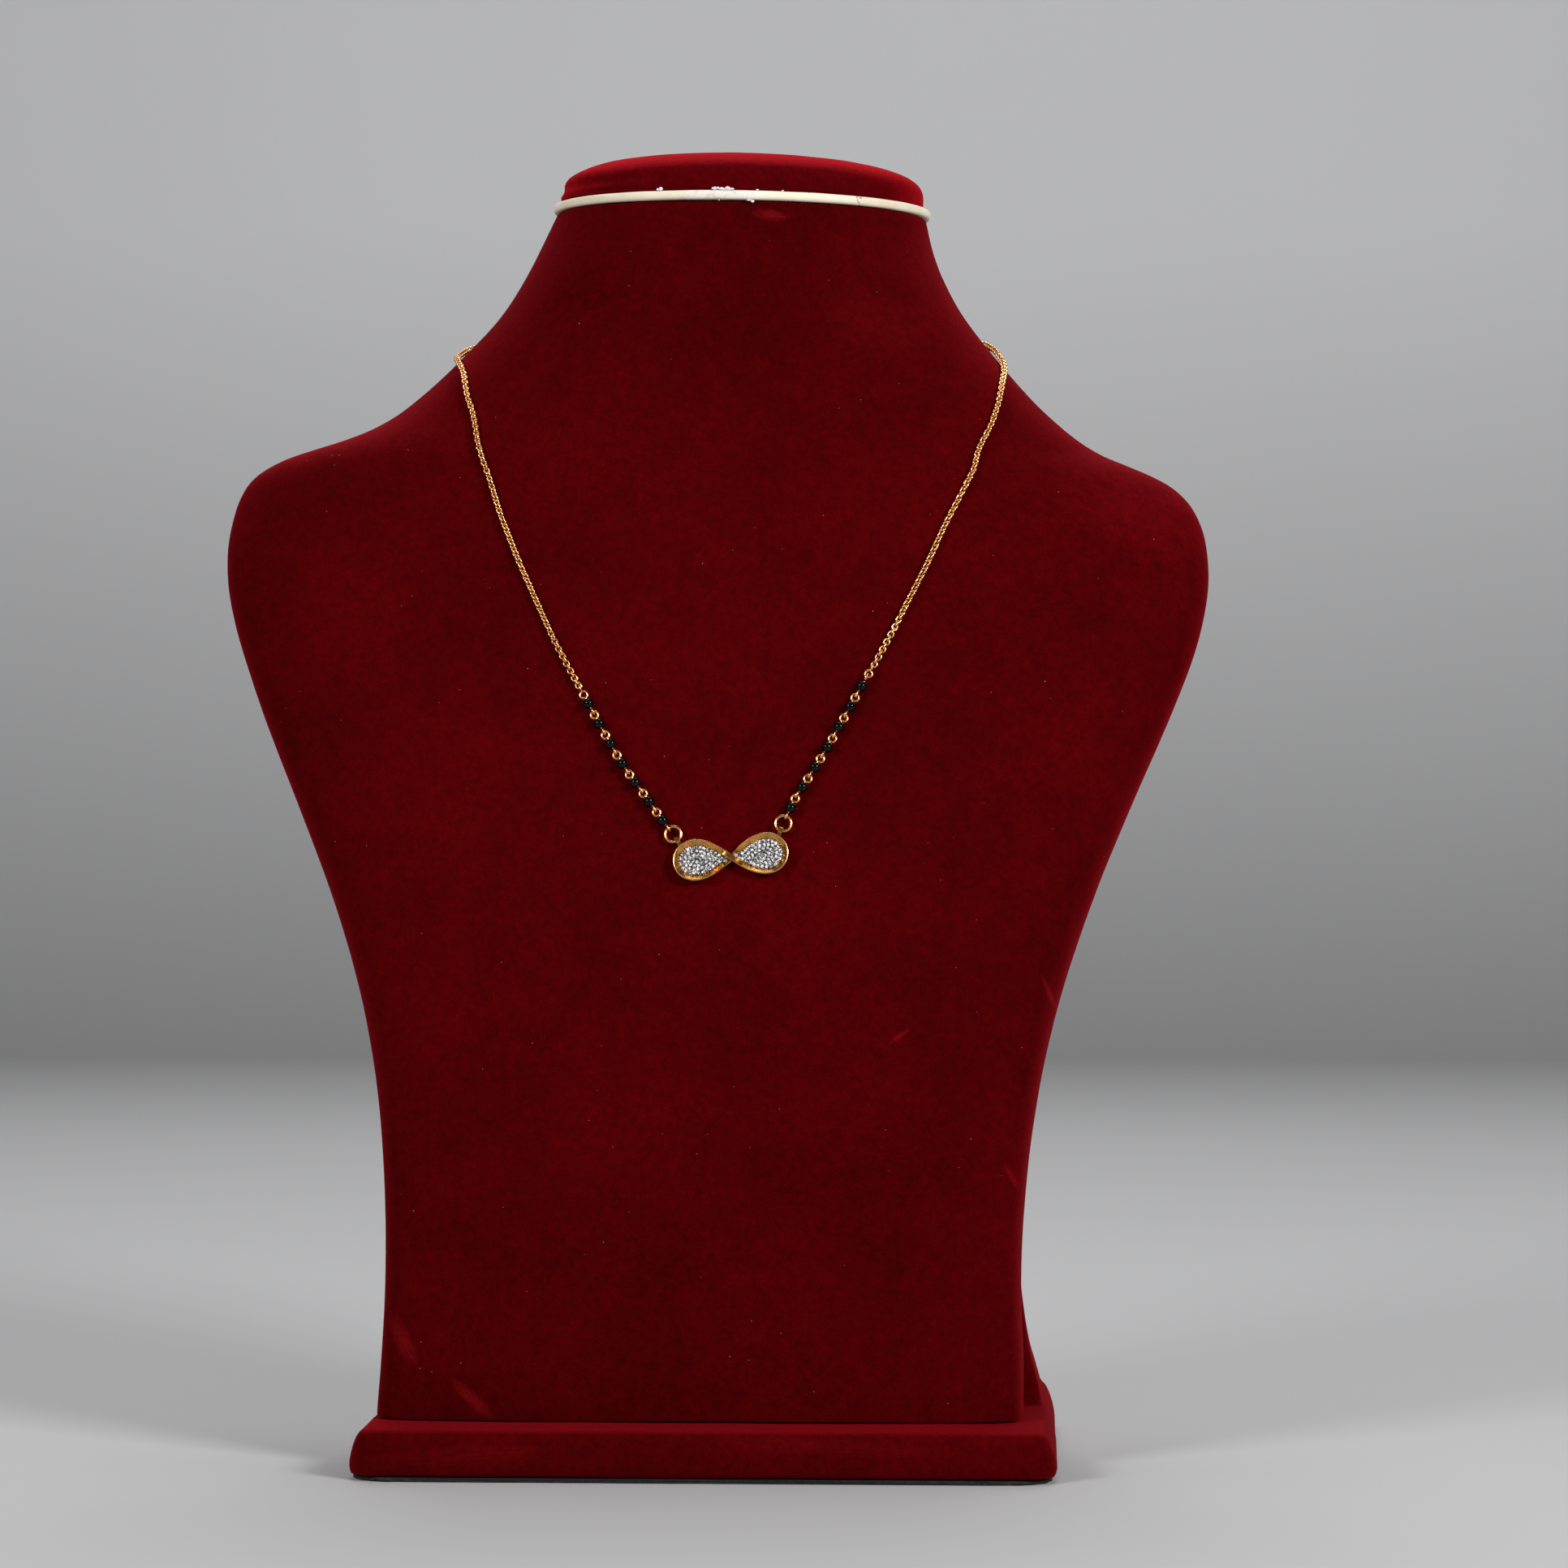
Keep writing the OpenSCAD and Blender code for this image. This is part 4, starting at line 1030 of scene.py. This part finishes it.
def makeProngs(turn):
    # Small gold beads along the band's inner edges, pressed against the outer stones
    shape = prongShape
    width = pendantShape["bandWidth"]
    places = []
    random.seed(shape["seed"])
    for side in (-1, 1):
        last = None
        wanted = 0
        for tenths in range(-10 * shape["reach"], 10 * shape["reach"] + 1):
            angle = math.radians(tenths / 10)
            spot = bandLine(angle) - bandOutward(angle) * width / 2
            if spot.x < width or (last is not None and (spot - last).length < wanted):
                continue
            last = spot
            wanted = random.uniform(*shape["step"])
            size = random.uniform(*shape["size"])
            rise = pendantShape["innerHigh"] - shape["sunk"] * size
            places.append(sizedPlace(pendantPlace @ Vector((side * spot.x, spot.y, rise)), turn, size))
    settle(smallBalls(places, shape["sides"], "goldProngs"), finish["bandGold"], "gold")


def tubeOf(lines, pieceName, smoothAngle):
    # Closed tubes through rings of points
    points = []
    faces = []
    for rings in lines:
        start = len(points)
        sides = len(rings[0])
        for ring in rings:
            points.extend(tuple(p) for p in ring)
        for i in range(len(rings) - 1):
            for k in range(sides):
                a = start + i * sides + k
                b = start + i * sides + (k + 1) % sides
                faces.append((a, b, b + sides, a + sides))
        faces.append(tuple(start + k for k in range(sides))[::-1])
        faces.append(tuple(start + (len(rings) - 1) * sides + k for k in range(sides)))
    mesh = bpy.data.meshes.new(pieceName)
    mesh.from_pydata(points, [], faces)
    piece = newObject(pieceName, mesh)
    editing(piece)
    bpy.ops.mesh.normals_make_consistent(inside=False)
    doneEditing()
    smoothFaces(piece, smoothAngle)
    return piece


def makeRimLine():
    # A fine raised line round each lobe's outer edge, that fades into the band near the crossing
    shape = rimLineShape
    lines = []
    for side in (-1, 1):
        rings = []
        for step in range(-shape["reach"], shape["reach"] + 1):
            angle = math.radians(step)
            out = bandOutward(angle)
            middle = bandLine(angle) + out * (pendantShape["bandWidth"] / 2 - shape["inside"])
            middle.z = shape["high"]
            fromEnd = (shape["reach"] - abs(step)) / shape["fadeOver"]
            radius = shape["radius"] * min(1.0, fromEnd + shape["thinnest"])
            ring = []
            for k in range(shape["sides"]):
                turn = 2 * math.pi * k / shape["sides"]
                spot = middle + (out * math.cos(turn) + Vector((0, 0, 1)) * math.sin(turn)) * radius
                ring.append(pendantPlace @ Vector((side * spot.x, spot.y, spot.z)))
            rings.append(ring)
        lines.append(rings)
    settle(tubeOf(lines, "goldRimLine", shape["smoothAngle"]), finish["gold"], "gold")


def makePendant(stones, outward):
    # The band in gold, and the plates between the stones in white metal
    piece = copyOfNode("pendant_frame", "goldPendant")
    smoothFaces(piece, pendantShape["smoothAngle"])
    settle(piece, finish["bandGold"], "gold", "pendant_frame")
    piece.data.materials.append(finish["whiteMetal"])
    level = sum((stone.dot(outward) for stone in stones), 0.0) / len(stones)
    for face in piece.data.polygons:
        middle = Vector(face.center)
        isFlat = abs(face.normal.dot(outward)) > plateRules["flatFrom"]
        onPlate = isFlat and -plateRules["under"] < middle.dot(outward) - level < plateRules["over"]
        if onPlate and min((middle - stone).length for stone in stones) < plateRules["reach"]:
            face.material_index = 1


stoneSpots = {side: stoneMiddles(side + "_stones") for side in bothSides}
allStones = stoneSpots["left"] + stoneSpots["right"]
outwardOfPendant = pendantOutward(allStones)
turnOfPendant = outwardOfPendant.to_track_quat("Z", "Y").to_matrix().to_4x4()
makePendant(allStones, outwardOfPendant)
makeProngs(turnOfPendant)
makeRimLine()
for stoneSide in bothSides:
    makeGrains(stoneSide, stoneSpots[stoneSide], turnOfPendant)
    stonesNode = frame["nodes"][stoneSide + "_stones"]
    stonesNode.data.materials.clear()
    stonesNode.data.materials.append(finish["stone"])
print("pendant ready")


# Lint on the velvet, and crumbs of filler on the cream edge
lintShape = {
    "count": 170, "seed": 21, "across": (-0.10, 0.10), "up": (0.013, 0.275), "lieOver": (0, 1, 0.3),
    "long": (0.08 * mm, 0.34 * mm), "thick": (0.025 * mm, 0.05 * mm), "raised": 0.4, "sides": 6,
}
# Lint that shows clearly, across and up; the rest is strewn
knownLint = [(-0.0822, 0.1658), (0.0599, 0.1217), (0.0940, 0.1457), (-0.0600, 0.0220), (0.0130, 0.2740)]
crumbShape = {
    "near": 2.5 * mm, "sunk": 0.35 * mm, "sides": 16, "unevenness": 0.30 * mm, "unevenSize": 0.00035,
}
# Across the edge in metres; rise over the edge's middle, and length, depth and height in millimetres
crumbs = [
    {"at": -0.0117, "rise": 1.42, "size": (1.00, 0.80, 0.80)},
    {"at": -0.0123, "rise": 1.24, "size": (0.80, 0.60, 0.55)},
    {"at": 0.0006, "rise": 1.36, "size": (1.30, 0.90, 0.70)},
    {"at": 0.0013, "rise": 1.46, "size": (0.90, 0.70, 0.60)},
    {"at": 0.0022, "rise": 1.30, "size": (1.60, 0.80, 0.60)},
    {"at": 0.0036, "rise": 1.42, "size": (1.40, 0.80, 0.80)},
    {"at": 0.0045, "rise": 1.24, "size": (1.20, 0.70, 0.60)},
    {"at": 0.0030, "rise": 1.18, "size": (2.60, 0.70, 0.45)},
    {"at": 0.0092, "rise": -1.40, "size": (0.75, 0.60, 0.70)},
    {"at": 0.0085, "rise": -1.18, "size": (1.20, 0.50, 0.40)},
    {"at": 0.0103, "rise": 1.16, "size": (0.60, 0.45, 0.30)},
    {"at": 0.0160, "rise": 1.16, "size": (0.60, 0.45, 0.28)},
    {"at": 0.0016, "rise": -1.28, "size": (0.30, 0.30, 0.28)},
]
lookFrom = -0.3  # well in front of the bust


def onFront(skin, x, z):
    # Where a straight look from the front meets a piece
    spot, normal, _, _ = skin.ray_cast(Vector((x, lookFrom, z)), Vector((0, 1, 0)))
    return spot, normal


def makeLint():
    shape = lintShape
    random.seed(shape["seed"])
    skin = skinOf(velvetBody)
    places = []
    wishes = list(knownLint)
    while len(wishes) < shape["count"]:
        wishes.append((random.uniform(*shape["across"]), random.uniform(*shape["up"])))
    for x, z in wishes:
        spot, normal = onFront(skin, x, z)
        if spot is None:
            continue
        thick = random.uniform(*shape["thick"])
        size = Matrix.Diagonal((thick, thick, random.uniform(*shape["long"]) / 2, 1))
        lie = facing(spot + normal * thick * shape["raised"], normal.cross(Vector(shape["lieOver"])), normal)
        lie = lie @ Matrix.Rotation(random.uniform(0, math.pi), 4, "Y")
        places.append(lie @ size)
    settle(smallBalls(places, shape["sides"], "paleLint"), finish["lint"], "velvet")


def makeCrumbs():
    shape = crumbShape
    skin = skinOf(creamRim)
    edge = [v.co for v in creamRim.data.vertices if v.co.y < 0]
    places = []
    for crumb in crumbs:
        heights = [spot.z for spot in edge if abs(spot.x - crumb["at"]) < shape["near"]]
        level = (min(heights) + max(heights)) / 2
        spot = onFront(skin, crumb["at"], level)[0] + Vector((0, shape["sunk"], crumb["rise"] * mm))
        size = Matrix.Diagonal((*(v * mm / 2 for v in crumb["size"]), 1))
        places.append(Matrix.Translation(spot) @ size)
    grit = smallBalls(places, shape["sides"], "fillerCrumbs")
    unevenSkin(grit, shape)
    settle(grit, finish["residue"], "cream_disc")


makeLint()
makeCrumbs()
print("lint and crumbs ready")


# Pale floor that runs up into a pale wall, with painted shade in its colour: darker low in the bend, lighter
# up the wall, and dark on the floor in front of the bust
stageShape = {
    "half": 3.0, "under": 0.05 * mm, "wallAt": 1.6, "wallHigh": 2.6, "near": 0.01,
    "bend": 0.7, "bendSteps": 24,
    "paper": ((0.66, 0.66, 0.67), (0.70, 0.70, 0.71)), "grain": (3.0, 4),
    "shade": [(0.0, 0.66), (0.05, 0.30), (0.30, 0.52), (0.75, 0.90), (1.0, 1.0)], "shadeLevels": (0.0, 0.6),
    "dark": (0.02, 0.02, 0.02), "frontShadeLevels": (-0.30, -0.75, 0.0, 0.85), "shader": {"Roughness": 0.85},
}


def stagePaper():
    look = stageShape
    material, tree, shader, here = newMaterial("paleStagePaper")
    spot = put(tree, "SeparateXYZ", {"Vector": here}).outputs
    paper = blendColours(tree, noise(tree, here, *look["grain"]), *look["paper"])
    # painted shade: darker low in the bend between floor and wall, lighter higher up the wall
    shade = greyRamp(tree, spread(tree, spot["Z"], *look["shadeLevels"]), look["shade"])
    paper = blendColours(tree, 1.0, paper, shade, "MULTIPLY")
    # painted shade: the floor in front of the bust turns dark
    paper = blendColours(tree, spread(tree, spot["Y"], *look["frontShadeLevels"]), paper, look["dark"])
    fill(tree, shader.inputs, {"Base Color": paper, **look["shader"]})
    return material


def makeStage():
    shape = stageShape
    place = (0, shape["wallAt"] - shape["half"], -shape["under"])
    clearSelection()
    bpy.ops.mesh.primitive_plane_add(size=2 * shape["half"], location=place)
    stage = bpy.context.object
    stage.name = "paleStage"
    bakePlace(stage)

    def atWall(edge):
        return all(v.co.y > shape["wallAt"] - shape["near"] for v in edge.verts)

    def atCorner(edge):
        return atWall(edge) and all(v.co.z < shape["near"] for v in edge.verts)

    editing(stage, atWall, "EDGE")
    bpy.ops.mesh.extrude_region_move(TRANSFORM_OT_translate={"value": (0, 0, shape["wallHigh"])})
    doneEditing()
    editing(stage, atCorner, "EDGE")
    bpy.ops.mesh.bevel(offset=shape["bend"], segments=shape["bendSteps"], affect="EDGES")
    doneEditing()
    smoothFaces(stage)
    stage.data.materials.append(stagePaper())


makeStage()


# Soft studio light: a soft box at each side of the camera, one above and behind, and one on the wall
lights = [
    {"name": "leftSoftBox", "at": (-0.88, -1.02, 0.74), "aim": (0, 0, 0.15), "size": 0.40, "power": 11.6},
    {"name": "rightSoftBox", "at": (0.98, -0.98, 0.74), "aim": (0, 0, 0.15), "size": 0.40, "power": 19},
    {"name": "backTopBox", "at": (0.0, 0.70, 1.25), "aim": (0, 0.0, 0.25), "size": 0.90, "power": 7.5},
    {"name": "wallWash", "at": (0.0, 0.30, 1.90), "aim": (0, 1.6, 0.5), "size": 0.80, "power": 9},
]
surround = {"Color": (0.60, 0.62, 0.64, 1.0), "Strength": 0.09}


def makeLights():
    for light in lights:
        data = bpy.data.lights.new(light["name"], "AREA")
        data.shape = "SQUARE"
        data.size = light["size"]
        data.energy = light["power"]
        lamp = newObject(light["name"], data)
        lamp.location = light["at"]
        lamp.rotation_mode = "QUATERNION"
        lamp.rotation_quaternion = (Vector(light["aim"]) - Vector(light["at"])).to_track_quat("-Z", "Y")
    world = bpy.data.worlds.new("paleSurround")
    world.use_nodes = True
    fill(world.node_tree, world.node_tree.nodes["Background"].inputs, surround)
    scene.world = world


makeLights()
scene.view_settings.view_transform = "Standard"
print("stage and lights ready")
